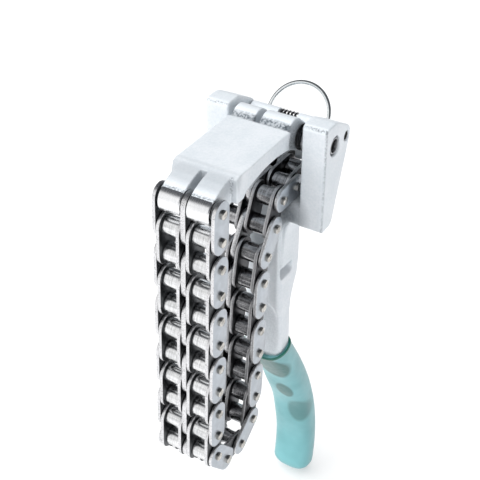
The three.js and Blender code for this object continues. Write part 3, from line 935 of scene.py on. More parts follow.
@dataclass
class Chain:
    """Double roller chain: two strands of rollers between plates on long pins.

    pin_dome gives how far from its end a pin is how thick, in millimetres and as a share of its radius.
    Links from number locked_from on lie fast in the throat.
    """

    finishes: Finishes
    pitch: float = 12.7
    pin_radius: float = 2.2
    pin_slack: float = 0.25
    pin_dome: tuple[Point, ...] = ((0.0, 0.0), (0.03, 0.5), (0.2, 0.85), (0.45, 1.0))
    bush_radius: float = 3.05
    bush_proud: float = 0.1
    bush_fit: float = 0.02
    bush_play: float = 0.05
    roller_radius: float = 4.25
    roller_length: float = 7.74
    roller_play: float = 0.1
    roller_lip: float = 0.3
    plate: float = 1.6
    middle_plate: float = 2.4
    gap: float = 0.3
    head: float = 1.5
    outer_height: float = 10.9
    inner_height: float = 11.8
    edge: float = 0.28
    front_links: int = 9
    bow_links: int = 5
    # The front strand and this many links of the bow take the lit finishes; the rest take darker copies,
    # painted shade.
    bright_bow_links: int = 3
    throat_links: int = 3
    front_lean: float = -3
    back_leans: tuple[float, ...] = (5.3, 6.2, 3.5, 5.8, 5.7, 12.8, 34.1, 26.3)
    sharpest_bend: float = math.pi / 3
    bow_tries: int = 60
    throat: Point = (48.5, -21.2)
    locked_from: int = 23

    def __post_init__(self) -> None:
        """Works out the widths of the strands from the plates and gaps."""
        self.middle_half = self.middle_plate / 2
        self.strand_inner = self.middle_half + self.gap
        self.roller_inner = self.strand_inner + self.plate
        self.roller_outer = self.roller_inner + self.roller_length
        self.strand_outer = self.roller_outer + self.plate
        self.plate_inner = self.strand_outer + self.gap
        self.plate_outer = self.plate_inner + self.plate

    def step(self, point: Point, heading: float, sign: float = 1) -> Point:
        """Finds the next pin along a heading.

        Args:
            point: The pin before it, in (Y, Z).
            heading: The heading in radians, zero straight down.
            sign: 1 to go on, -1 to go back.

        Returns:
            The next pin.
        """
        return (
            point[0] + sign * self.pitch * math.sin(heading),
            point[1] - sign * self.pitch * math.cos(heading),
        )

    def bow(self, start: Point, end: Point) -> list[float]:
        """Headings of the links that join two pins in an even bow.

        Args:
            start: The last pin of the front strand.
            end: The first pin of the rising strand.

        Returns:
            One heading for each link of the bow, in radians.
        """
        across = math.dist(start, end)
        middle = math.atan2(end[0] - start[0], start[1] - end[1])
        places = [i - (self.bow_links - 1) / 2 for i in range(self.bow_links)]
        low, high = 0.0, self.sharpest_bend
        for _ in range(self.bow_tries):
            bend = (low + high) / 2
            reach = self.pitch * sum(math.cos(spot * bend) for spot in places)
            low, high = (bend, high) if reach > across else (low, bend)
        return [middle + spot * low for spot in places]

    def route(self) -> tuple[list[float], list[Point]]:
        """Works out where the chain runs.

        Returns:
            Headings of all the links, and the pins that they hang from.
        """
        headings = [math.radians(self.front_lean)] * self.front_links
        front_end: Point = (0.0, 0.0)
        for heading in headings:
            front_end = self.step(front_end, heading)
        rising = [math.pi - math.radians(lean) for lean in self.back_leans]
        back_end = self.throat
        for heading in reversed(rising):
            back_end = self.step(back_end, heading, -1)
        headings += self.bow(front_end, back_end) + rising + [math.pi / 2] * self.throat_links
        pins: list[Point] = [(0.0, 0.0)]
        for heading in headings:
            pins.append(self.step(pins[-1], heading))
        return headings, pins

    def link_plate(self, height: float, low: float, high: float) -> bpy.types.Mesh:
        """One plate of a link between two places along X."""
        rings = plate(lambda inset: capsule(height / 2 - inset, self.pitch), low, high, self.edge)
        return lofted(rings, "plate")

    def outer_plates(self) -> bpy.types.Mesh:
        """Makes the two outer plates and the middle plate of a pin link.

        Returns:
            The mesh.
        """
        mesh = joined([
            self.link_plate(self.outer_height, self.plate_inner, self.plate_outer),
            self.link_plate(self.outer_height, -self.plate_outer, -self.plate_inner),
            self.link_plate(self.outer_height, -self.middle_half, self.middle_half),
        ], "outer_plates")
        shade(mesh)
        return mesh

    def pins(self) -> bpy.types.Mesh:
        """Makes the two pins of a pin link, with their riveted ends.

        Returns:
            The mesh.
        """
        end, radius = self.plate_outer + self.head, self.pin_radius - self.pin_slack
        dome = [(end - depth, radius * share) for depth, share in self.pin_dome]
        profile = [(-x, r) for x, r in dome] + dome[::-1]
        mesh = joined([turned(profile, (0, z), "pin", steps=28) for z in (0, -self.pitch)], "link_pins")
        shade(mesh)
        return mesh

    def inner_plates(self) -> bpy.types.Mesh:
        """Makes the two plates of one strand of a roller link.

        Returns:
            The mesh, for the right strand.
        """
        mesh = joined([
            self.link_plate(self.inner_height, self.strand_inner, self.roller_inner),
            self.link_plate(self.inner_height, self.roller_outer, self.strand_outer),
        ], "inner_plates")
        shade(mesh)
        return mesh

    def rollers(self) -> bpy.types.Mesh:
        """Makes the two rollers of one strand of a roller link, with the bushes inside.

        Returns:
            The mesh, for the right strand.
        """
        near, far = self.roller_inner + self.roller_play, self.roller_outer - self.roller_play
        lip, bore = self.roller_lip, self.bush_radius
        roller = [
            (near, bore), (near, self.roller_radius - lip), (near + lip, self.roller_radius),
            (far - lip, self.roller_radius), (far, self.roller_radius - lip), (far, bore), (near, bore),
        ]
        low, high = self.strand_inner - self.bush_proud, self.strand_outer + self.bush_proud
        inside, outside = self.pin_radius + self.bush_play, self.bush_radius - self.bush_fit
        bush = [(low, inside), (low, outside), (high, outside), (high, inside), (low, inside)]
        axes = ((0, 0), (0, -self.pitch))
        meshes = [turned(profile, axis, "roller", steps=40) for axis in axes for profile in (roller, bush)]
        mesh = joined(meshes, "rollers")
        shade(mesh)
        return mesh

    def set_in_place(self, name: str, mesh: bpy.types.Mesh, heading: float, pin: Point) -> bpy.types.Object:
        """Hangs a copy of a link's mesh from its pin, turned to its heading.

        Args:
            name: Name of the piece.
            mesh: The mesh, hung from the origin.
            heading: The heading in radians, zero straight down.
            pin: The pin in (Y, Z), off the front pin.

        Returns:
            The piece.
        """
        copy = mesh.copy()
        copy.transform(Matrix.Translation(place(0, *pin)) @ Matrix.Rotation(heading, 4, "X"))
        return new_object(name, copy)

    def mirrored(self, mesh: bpy.types.Mesh) -> bpy.types.Mesh:
        """Mirrors a mesh of the right strand.

        Args:
            mesh: The mesh.

        Returns:
            A copy for the left strand.
        """
        copy = mesh.copy()
        copy.transform(Matrix.Diagonal((-1, 1, 1, 1)))
        copy.flip_normals()
        return copy

    def build(self) -> None:
        """Makes every link and dresses it."""
        headings, pins = self.route()
        looks = self.finishes
        outer, rods = self.outer_plates(), self.pins()
        inner, rollers = self.inner_plates(), self.rollers()
        sides = {"right": (inner, rollers), "left": (self.mirrored(inner), self.mirrored(rollers))}
        for i, heading in enumerate(headings):
            number = f"{i + 1:02d}"
            body = f"link_{number}" if i + 1 < self.locked_from else "handle"
            # Links behind the front strand take the darker finishes: painted shade where the front strand
            # shades them.
            bright = i < self.front_links + self.bright_bow_links
            if i % 2 == 0:
                plates = self.set_in_place(f"outer_plates_{number}", outer, heading, pins[i])
                dress(plates, body, looks.plate, [f"pin_link_{number}"])
                rod = self.set_in_place(f"link_pins_{number}", rods, heading, pins[i])
                dress(rod, body, looks.pin_head)
                continue
            for side, (flat, drum) in sides.items():
                plates = self.set_in_place(f"inner_plates_{number}_{side}", flat, heading, pins[i])
                finish = looks.inner_plate if bright else looks.painted_shade_plate
                dress(plates, body, finish, [f"roller_link_{number}_{side}"])
                drums = self.set_in_place(f"rollers_{number}_{side}", drum, heading, pins[i])
                dress(drums, body, looks.roller if bright else looks.painted_shade_roller)


# Lever


@dataclass
class Lever:
    """Cast tension lever with two machined knuckles and a bulged barrel on the main pin.

    bulge is a disc in (Y, Z, radius), and end_step the two radii of the step beside the spacer, round the
    main pin and round the bulge. dimple_shares gives the dimple's rings: how far in and how wide, as shares
    of its radius.
    """

    finishes: Finishes
    skin: float = 0.34
    skin_rounds: int = 6
    top: float = 10.3
    half_width: float = LEVER_HALF_WIDTH
    nose_half_width: float = 11.6
    nose_length: float = 10.3
    nose_back: Point = (0.3, 0)
    nose_inset: float = 0.35
    nose_top: tuple[Point, ...] = ((-1.9, 5.55), (1.1, 7.0), (5.9, 8.7), (10.3, 9.5), (12.3, 9.9))
    shoulder_run: float = 2.2
    shoulder_drop: float = 0.8
    web_start: float = 2.6
    web_drop: float = 3.3
    web_back_drop: float = 0.5
    web_lift: float = 0.1
    web_inset: float = 0.05
    web_overlap: float = 1
    knuckle_radius: float = 5.8
    knuckle_lip: float = 0.4
    knuckle_bore: float = 2.7
    slot: float = 3.0
    slot_reach: float = 9
    wall: float = 3.0
    roof: float = 4.4
    hollow_start: float = 15
    hollow_end: float = 50
    tip_depth: float = 1.4
    arch_height: float = 3.6
    arch_share: float = 0.85
    arch_steps: int = 12
    back_height: float = 2
    crease_back: float = 52.6
    crease_run: float = 0.8
    crease_depth: float = 1
    bulge: Triple = (60, 4.8, 7)
    main_pin: Point = MAIN_PIN
    barrel_radius: float = 6.3
    pin_radius: float = 4.3
    barrel_slot: float = 2.8
    barrel_slot_front: float = 54
    barrel_slot_aside: float = -2.6
    barrel_end: float = BARREL_END
    end_step: Point = (9.0, 8.2)
    dimple: Triple = (11.6, 54.9, 9.9)
    dimple_radius: float = 1.1
    dimple_shares: tuple[Point, ...] = ((-2, 0.8), (0.4, 1.0), (1.2, 0.5))
    dimple_sides: int = 20

    def side_outline(self) -> list[Point]:
        """Draws the side view of the flat part, from the shoulder to the barrel.

        Returns:
            The outline in (Y, Z).
        """
        back = self.main_pin[0] - self.barrel_radius + OVERLAP
        start, span = self.hollow_start + self.wall, self.hollow_end - self.hollow_start - self.wall
        foot = self.back_height / 2
        rise = self.arch_height - foot
        arch = [
            (start + span * i / self.arch_steps,
             foot + rise * math.sin(math.pi * i / self.arch_steps * self.arch_share))
            for i in range(1, self.arch_steps + 1)
        ]
        return [
            (self.nose_length, -self.tip_depth), (self.hollow_start, -self.tip_depth), (start, foot), *arch,
            (back, self.back_height - self.wall), (back, self.top - self.crease_depth),
            (self.crease_back, self.top - self.crease_depth), (self.crease_back - self.crease_run, self.top),
            (self.nose_length + self.shoulder_run, self.top),
            (self.nose_length, self.top - self.shoulder_drop),
        ]

    def nose_web(self) -> bpy.types.Mesh:
        """Makes the web that carries the lever's left side on to the nose.

        Returns:
            The mesh.
        """
        low, front = self.web_lift - self.tip_depth, self.nose_length
        back, high = front + OVERLAP, self.top - self.web_back_drop
        inside, outside = self.web_overlap - self.nose_half_width, self.web_inset - self.half_width
        tops = (
            (inside, self.web_start, self.top - self.web_drop), (inside, back, high),
            (outside, back, high), (outside, front, self.top - self.shoulder_drop),
        )
        corners = [place(x, y, low) for x, y, _ in tops] + [place(x, y, z) for x, y, z in tops]
        return hull_body(corners, "nose_web")

    def nose(self) -> list[Point]:
        """Draws the side view of the nose.

        Returns:
            The outline in (Y, Z).
        """
        end = (self.nose_length + OVERLAP, -self.tip_depth)
        return hull([*circle(self.nose_back, self.knuckle_radius - self.nose_inset), *self.nose_top, end])

    def body(self) -> bpy.types.Mesh:
        """Makes the casting without its machined knuckles.

        Returns:
            The mesh.
        """
        casting = Casting("lever_casting", self.skin, self.skin_rounds)
        casting.add(slab(self.side_outline(), -self.half_width, self.half_width))
        casting.add(slab(self.nose(), -self.nose_half_width, self.nose_half_width))
        casting.add(self.nose_web())
        barrel = disc_hull([(*self.main_pin, self.barrel_radius), self.bulge])
        casting.add(slab(barrel, -self.half_width, self.half_width))
        self.cut_slots(casting)
        across = self.half_width + OVERRUN
        casting.cut(slab(circle(self.main_pin, self.pin_radius), -across, across))
        pin_step, bulge_step = self.end_step
        step = disc_hull([(*self.main_pin, pin_step), (*self.bulge[:2], bulge_step)])
        casting.cut(slab(step, self.barrel_end, across))
        casting.cut(self.dimple_tool())
        return casting.softened()

    def cut_slots(self, casting: Casting) -> None:
        """Cuts the hollow underneath, the slot in the nose and the slot in the barrel.

        Args:
            casting: The lever's casting.
        """
        front, back = self.hollow_start, self.hollow_end
        low, high = -self.knuckle_radius - OVERRUN, self.top - self.roof
        inner = self.half_width - self.wall
        casting.cut(slab([(front, low), (back, low), (back, high), (front, high)], -inner, inner))
        tall, reach, end = self.top + 2 * OVERRUN, -self.slot_reach, self.nose_length
        nose_slot = [(reach, reach), (end, reach), (end, tall), (reach, tall)]
        casting.cut(slab(nose_slot, -self.slot / 2, self.slot / 2))
        front, back, low = self.barrel_slot_front, self.main_pin[0] + self.pin_radius, self.main_pin[1]
        opening = [(front, low), (back, low), (back, tall), (front, tall)]
        middle, half = self.barrel_slot_aside, self.barrel_slot / 2
        casting.cut(slab(opening, middle - half, middle + half))

    def dimple_tool(self) -> bpy.types.Mesh:
        """Makes the tool for the small round dimple at the right end of the barrel's front.

        Returns:
            The mesh.
        """
        x, y, z = self.dimple
        angles = [FULL_TURN * k / self.dimple_sides for k in range(self.dimple_sides)]
        rings = []
        for ahead, wide in self.dimple_shares:
            deep, radius = y + ahead * self.dimple_radius, self.dimple_radius * wide
            rings.append([place(x + radius * math.cos(a), deep, z + radius * math.sin(a)) for a in angles])
        return lofted(rings, "dimple")

    def knuckle(self, near: float, far: float) -> bpy.types.Mesh:
        """Makes one machined knuckle.

        Args:
            near: Its lower X.
            far: Its higher X.

        Returns:
            The mesh.
        """
        lip, bore, radius = self.knuckle_lip, self.knuckle_bore, self.knuckle_radius
        profile = [
            (near, bore), (near, radius - lip), (near + lip, radius),
            (far - lip, radius), (far, radius - lip), (far, bore), (near, bore),
        ]
        mesh = turned(profile, (0, 0), "knuckle", steps=64)
        mesh.transform(Matrix.Translation(FRONT_PIN))
        shade(mesh)
        return mesh

    def build(self) -> None:
        """Makes the lever and its knuckles."""
        looks = self.finishes
        body = new_object("lever_casting", self.body())
        dress(body, "lever", looks.lever, ["tension_lever"])
        inner, outer = self.slot / 2, self.nose_half_width
        for side, near, far in (("right", inner, outer), ("left", -outer, -inner)):
            piece = new_object(f"lever_knuckle_{side}", self.knuckle(near, far))
            dress(piece, "lever", looks.machined)


# Head, neck and handle


@dataclass
class Handle:
    """Forged yoke head, its neck, and the tang under the grip.

    neck_levels gives the neck's height, half width, front and back from the head down. The corners in groove
    and eye_pocket count X out from the neck's side.
    """

    finishes: Finishes
    skin: float = 0.42
    skin_rounds: int = 14
    cheek_front: float = 56.6
    cheek_inner: float = 17.7
    cheek_outer: float = 29.2
    cheek_top: float = 12.2
    cheek_bottom: float = 39
    crown: Point = (64.5, 6)
    rear: Triple = (80, 1.5, 5)
    heel: Point = (67, 3.5)
    corner: float = 2.2
    floor_top: float = -27.6
    floor_back: float = 77
    floor_overlap: float = 3
    lip: float = 3
    neck_half_width: float = 9.5
    neck_corner: float = 3.0
    neck_corner_steps: int = 6
    neck_levels: tuple[tuple[float, float, float, float], ...] = (
        (-30.6, 14.5, 56.6, 77), (-38.5, 13.5, 56.6, 77), (-41.5, 11.2, 56.6, 77), (-45, 9.9, 56.6, 77),
        (-50, 9.5, 56.6, 77), (-70, 9.5, 56.6, 77), (-78, 9.5, 56.6, 76), (-84, 9.6, 56.6, 72.8),
        (-90, 9.8, 56.6, 70), (-97, 10, 56.6, 68.8), (-112, 10.3, 56.6, 68.6), (-118, 10.2, 56.8, 68.2),
        (-126, 8.2, 60, 67),
    )
    groove: tuple[Triple, ...] = (
        (5, 58, -37), (5, 62.5, -37), (-2.6, 58, -37), (-2.6, 61.5, -37),
        (2, 57.4, -66), (2, 59.2, -66), (-1.2, 57.6, -65), (-1.2, 58.6, -65),
    )
    eye_pocket: tuple[Triple, ...] = (
        (2, 56.5, -66.4), (2, 69.6, -67.4), (2, 69.8, -73.6), (2, 66.5, -75.6), (2, 57, -75.4),
        (-4.5, 60, -67), (-4.5, 68, -67.8), (-4.5, 68, -69.4), (-4.5, 60, -69),
    )
    pocket_half_width: float = 8.6
    pocket_top: float = -88
    pocket_bottom: float = -126
    pocket_depth: float = 0.9
    pocket_reach: float = 1
    main_pin: Point = MAIN_PIN
    main_pin_radius: float = 4.0
    main_pin_play: float = 0.5
    main_pin_bore: float = 2.9
    main_pin_lip: float = 0.5
    chamfer_depth: float = 0.6
    chamfer_width: float = 0.2
    core_depth: float = 1.2
    pawl_pin: Point = PAWL_PIN
    pawl_pin_radius: float = 2.0
    pawl_pin_play: float = 0.3
    pawl_pin_lip: float = 0.4
    pin_end: float = 28.6
    spacer_radius: float = 5.8
    spacer_lip: float = 0.4
    spacer_bore_play: float = 0.1
    spacer_play: float = 0.3
    washer_gap: float = 0.25
    barrel_end: float = BARREL_END
    lever_half_width: float = LEVER_HALF_WIDTH

    def cheek(self) -> list[Point]:
        """Draws the side view of a cheek.

        Returns:
            The outline in (Y, Z).
        """
        return disc_hull([
            (self.cheek_front + self.corner, self.cheek_top - self.corner, self.corner),
            (self.crown[0], self.cheek_top - self.crown[1], self.crown[1]),
            (self.rear[0] - self.rear[2], self.rear[1], self.rear[2]),
            (self.heel[0] - self.heel[1], self.heel[1] - self.cheek_bottom, self.heel[1]),
            (self.cheek_front + self.corner, self.corner - self.cheek_bottom, self.corner),
        ])

    def body(self) -> bpy.types.Mesh:
        """Makes the forging down to the rim of the grip.

        Returns:
            The mesh.
        """
        casting = Casting("head_forging", self.skin, self.skin_rounds)
        cheek = self.cheek()
        casting.add(slab(cheek, self.cheek_inner, self.cheek_outer))
        casting.add(slab(cheek, -self.cheek_outer, -self.cheek_inner))
        front, back, lip = self.cheek_front + self.lip, self.floor_back - self.lip, self.lip
        floor = disc_hull([
            (front, self.floor_top - lip, lip), (back, self.floor_top - lip, lip),
            (back, lip - self.cheek_bottom, lip), (front, lip - self.cheek_bottom, lip),
        ])
        across = self.cheek_inner + self.floor_overlap
        casting.add(slab(floor, -across, across))
        casting.add(self.neck())
        casting.cut(self.front_pocket())
        for side in (1, -1):
            casting.cut(self.side_tool(self.groove, side, "groove"))
            casting.cut(self.side_tool(self.eye_pocket, side, "eye_pocket"))
        across = self.cheek_outer + OVERRUN
        casting.cut(slab(circle(self.main_pin, self.main_pin_radius + self.main_pin_play), -across, across))
        casting.cut(slab(circle(self.pawl_pin, self.pawl_pin_radius + self.pawl_pin_play), -across, across))
        return casting.softened()

    def neck(self) -> bpy.types.Mesh:
        """The neck: rounded sections that flare into the head and narrow to the tang."""
        rings = [self.section(half, front, back, level) for level, half, front, back in self.neck_levels]
        return lofted(rings, "neck")

    def section(self, half: float, front: float, back: float, level: float) -> list[Vector]:
        """A rounded rectangle across the neck.

        Args:
            half: Half its width along X.
            front: Its front in Y.
            back: Its back in Y.
            level: Its height in Z.

        Returns:
            The points round it.
        """
        corner = self.neck_corner
        middles = (
            (half - corner, back - corner), (corner - half, back - corner),
            (corner - half, front + corner), (half - corner, front + corner),
        )
        points: list[Point] = []
        for quarter, middle in enumerate(middles):
            points += arc(middle, corner, 90 * quarter, 90 * (quarter + 1), self.neck_corner_steps)
        return [place(x, y, level) for x, y in points]

    def front_pocket(self) -> bpy.types.Mesh:
        """Makes the tool for the shallow round-topped pocket down the front of the tang.

        Returns:
            The mesh.
        """
        half, top, bottom = self.pocket_half_width, self.pocket_top, self.pocket_bottom
        outline = arc((0, top - half), half, 0, 180, 16) + [(-half, bottom), (half, bottom)]
        near, far = self.cheek_front - self.pocket_reach, self.cheek_front + self.pocket_depth
        return lofted([[place(x, y, z) for x, z in outline] for y in (near, far)], "front_pocket")

    def side_tool(self, corners: Sequence[Triple], side: int, name: str) -> bpy.types.Mesh:
        """Makes a tool that is cut out of one side of the neck.

        Args:
            corners: Its corners, with X counted out from the neck's side.
            side: 1 for the right side, -1 for the left.
            name: Name of the mesh.

        Returns:
            The mesh.
        """
        half = self.neck_half_width
        return hull_body([place(side * (half + x), y, z) for x, y, z in corners], name)

    def sleeve(self) -> list[Point]:
        """Draws the hollow main pin, with eased rims and a chamfer at each end of its bore.

        Returns:
            The closed profile in (X, radius).
        """
        end, lip, outer, bore = self.pin_end, self.main_pin_lip, self.main_pin_radius, self.main_pin_bore
        mouth, deep = bore + self.chamfer_width, end - self.chamfer_depth
        return [
            (-end, mouth), (-end, outer - lip), (lip - end, outer), (end - lip, outer), (end, outer - lip),
            (end, mouth), (deep, bore), (-deep, bore), (-end, mouth),
        ]

    def core(self) -> list[Point]:
        """Draws the dark core that fills the main pin's bore, a little way in from its ends: painted shade
        for the inside of the bore.

        Returns:
            The profile in (X, radius).
        """
        deep, bore = self.pin_end - self.core_depth, self.main_pin_bore
        return [(-deep, 0), (-deep, bore), (deep, bore), (deep, 0)]

    def rod(self) -> list[Point]:
        """Draws the pawl's pin.

        Returns:
            The profile in (X, radius).
        """
        end, lip, outer = self.pin_end, self.pawl_pin_lip, self.pawl_pin_radius
        half = [(end - lip, outer), (end, outer - lip), (end, 0)]
        return [(-x, radius) for x, radius in half[::-1]] + half

    def spacer(self, near: float, far: float, sign: int) -> list[Point]:
        """Draws a spacer with rounded rims.

        Args:
            near: Its end beside the lever, as a distance from the middle.
            far: Its end beside the cheek.
            sign: 1 on the right, -1 on the left.

        Returns:
            The closed profile in (X, radius).
        """
        bore, rim, lip = self.main_pin_radius + self.spacer_bore_play, self.spacer_radius, self.spacer_lip
        run = [
            (near, bore), (near, rim - lip), (near + lip, rim),
            (far - lip, rim), (far, rim - lip), (far, bore), (near, bore),
        ]
        return [(sign * x, radius) for x, radius in run]

    def turned_at(self, profile: Sequence[Point], centre: Point) -> bpy.types.Mesh:
        """Turns a body on an axis given off the front pin.

        Args:
            profile: Its profile in (X, radius).
            centre: The axis in (Y, Z).

        Returns:
            The mesh, in place.
        """
        mesh = turned(profile, centre, "turned")
        mesh.transform(Matrix.Translation(FRONT_PIN))
        shade(mesh)
        return mesh

    def build(self) -> None:
        """Makes the forging, its two pins, and the spacers and washers beside the lever."""
        looks = self.finishes
        body = new_object("head_forging", self.body())
        dress(body, "handle", looks.cast, ["handle_body"])
        main = new_object("main_pin_sleeve", self.turned_at(self.sleeve(), self.main_pin))
        dress(main, "handle", looks.washer, ["main_pin"])
        # Painted shade: a near-black core inside the main pin's bore.
        core = new_object("main_pin_core", self.turned_at(self.core(), self.main_pin))
        dress(core, "handle", looks.bore)
        # The pawl's pin is black steel; its near-black finish also stands for the painted shade of the slit
        # at its end.
        pin = new_object("pawl_pin_rod", self.turned_at(self.rod(), self.pawl_pin))
        dress(pin, "handle", looks.bore, ["pawl_pin"])
        far = self.cheek_inner - self.spacer_play
        for side, sign, end in (("right", 1, self.barrel_end), ("left", -1, self.lever_half_width)):
            near = end + self.spacer_play
            middle = (near + far) / 2
            spacer = self.turned_at(self.spacer(near, middle, sign), self.main_pin)
            piece = new_object(f"main_pin_spacer_{side}", spacer)
            dress(piece, "handle", looks.black, [f"spacer_{side}"])
            washer = self.turned_at(self.spacer(middle + self.washer_gap, far, sign), self.main_pin)
            dress(new_object(f"main_pin_washer_{side}", washer), "handle", looks.washer)


@dataclass
class Grip:
    """Dipped vinyl grip that bows back from the neck.

    curve holds the four control points of its middle line in (Y, Z). The rim rises at the front corners by
    rim_rise, dips between them by rim_dip and falls to the back by rim_fall, over the first rim_fade steps.
    """

    finishes: Finishes
    half_width: float = 11.3
    half_depth: float = 7.6
    front_depth: float = 8.2
    rim_rise: float = 4.2
    rim_fall: float = 1.4
    rim_dip: float = 6.0
    rim_fade: int = 12
    lip_roll: float = 0.55
    lip_length: float = 2.1
    lip_bias_share: float = 0.2
    lip_sides: int = 10
    tucks: Point = (2.2, 0.5)
    swell: float = 0.5
    waves: int = 7
    curve: tuple[Point, ...] = ((63.4, -119), (84, -152), (109, -197), (97, -243))
    curve_steps: int = 400
    steps: int = 90
    sides: int = 40
    squareness: float = 2.8
    end_start_share: float = 0.94
    end_run_share: float = 0.06
    end_least_share: float = 0.02

    def point(self, share: float) -> tuple[Point, Point]:
        """Finds a place on the curve.

        Args:
            share: How far along it, as a share of its parameter.

        Returns:
            The place and the direction there, in (Y, Z).
        """
        (a, b, c, d), s, t = self.curve, 1 - share, share
        spot = tuple(s**3 * a[k] + 3 * s * s * t * b[k] + 3 * s * t * t * c[k] + t**3 * d[k] for k in (0, 1))
        slope = tuple(
            3 * (s * s * (b[k] - a[k]) + 2 * s * t * (c[k] - b[k]) + t * t * (d[k] - c[k])) for k in (0, 1)
        )
        size = math.hypot(*slope)
        return spot, (slope[0] / size, slope[1] / size)

    def centres(self) -> list[tuple[Point, Point]]:
        """Walks along the curve in equal steps of length.

        Returns:
            The place and the direction at each step.
        """
        last = self.curve_steps
        fine = [self.point(i / last) for i in range(last + 1)]
        lengths = [0.0]
        for (here, _), (there, _) in zip(fine, fine[1:]):
            lengths.append(lengths[-1] + math.dist(here, there))
        found: list[tuple[Point, Point]] = []
        k = 0
        for i in range(self.steps + 1):
            aim = lengths[-1] * i / self.steps
            while k < last and lengths[k] < aim:
                k += 1
            found.append(fine[k])
        return found

    def ring(
        self, centre: Point, along: Point, size: Triple, fade: float = 0, ahead: float = 0
    ) -> list[Vector]:
        """One rounded-square ring across the grip.

        Args:
            centre: Its middle in (Y, Z).
            along: The direction of the grip there.
            size: Half its width, its depth to the front and its depth to the back.
            fade: How much it follows the slanted rim, 1 at the rim and 0 below it.
            ahead: How far it is moved on along the grip.

        Returns:
            The points round it.
        """
        side = (-along[1], along[0])
        wide, front, back = size
        power = 2 / self.squareness
        points = []
        for k in range(self.sides):
            angle = FULL_TURN * k / self.sides
            c, s = math.cos(angle), math.sin(angle)
            across = math.copysign(abs(c) ** power, c)
            deep = math.copysign(abs(s) ** power, s)
            depth = deep * (back if s > 0 else front)
            move = ahead - fade * self.rim_height(across, deep)
            points.append(place(
                wide * across, centre[0] + depth * side[0] + move * along[0],
                centre[1] + depth * side[1] + move * along[1],
            ))
        return points

    def rim_height(self, across: float, deep: float) -> float:
        """Tells how far the rim stands above a plain cut.

        Args:
            across: The share of the half width, from -1 on the left to 1 on the right.
            deep: The share of the depth, from -1 at the front to 1 at the back.

        Returns:
            The height in millimetres.
        """
        if deep > 0:
            return -self.rim_fall * deep
        return -deep * (self.rim_rise - self.rim_dip * (1 - across * across))

    def sized(self, more: float) -> Triple:
        """Half the width, the front depth and the back depth at the rim, all made larger."""
        return self.half_width + more, self.front_depth + more, self.half_depth + more

    def skin(self) -> bpy.types.Mesh:
        """Makes the grip with its slanted rim, finger waves and rounded end.

        Returns:
            The mesh.
        """
        centres = self.centres()
        rings = [self.ring(*centres[0], self.sized(-inset), 1) for inset in self.tucks]
        for i, (centre, along) in enumerate(centres):
            share = i / self.steps
            wave = self.swell * math.sin(share * math.pi * self.waves) * math.sin(share * math.pi)
            close = 1.0
            if share > self.end_start_share:
                run = (share - self.end_start_share) / self.end_run_share
                close = math.sqrt(max(1 - run ** 2, self.end_least_share))
            size = (self.half_width * close, (self.front_depth + wave) * close, self.half_depth * close)
            rings.append(self.ring(centre, along, size, max(1 - i / self.rim_fade, 0)))
        mesh = lofted(rings, "dipped_grip")
        shade(mesh, sharp_above=60)
        return mesh

    def lip(self) -> bpy.types.Mesh:
        """Makes the rolled dark lip round the rim.

        Returns:
            The mesh.
        """
        centre, along = self.centres()[0]
        rings = []
        for k in range(self.lip_sides):
            angle = FULL_TURN * k / self.lip_sides
            more = self.lip_roll * (self.lip_bias_share + math.cos(angle))
            ahead = self.lip_length / 2 * math.sin(angle)
            rings.append(self.ring(centre, along, self.sized(more), 1, ahead))
        mesh = lofted(rings, "grip_lip", closed=True)
        shade(mesh, sharp_above=80)
        return mesh

    def build(self) -> None:
        """Makes the grip and its dark lip."""
        looks = self.finishes
        dress(new_object("dipped_grip", self.skin()), "handle", looks.vinyl, ["grip"])
        dress(new_object("grip_lip", self.lip()), "handle", looks.lip)


# Pawl, ring and spring


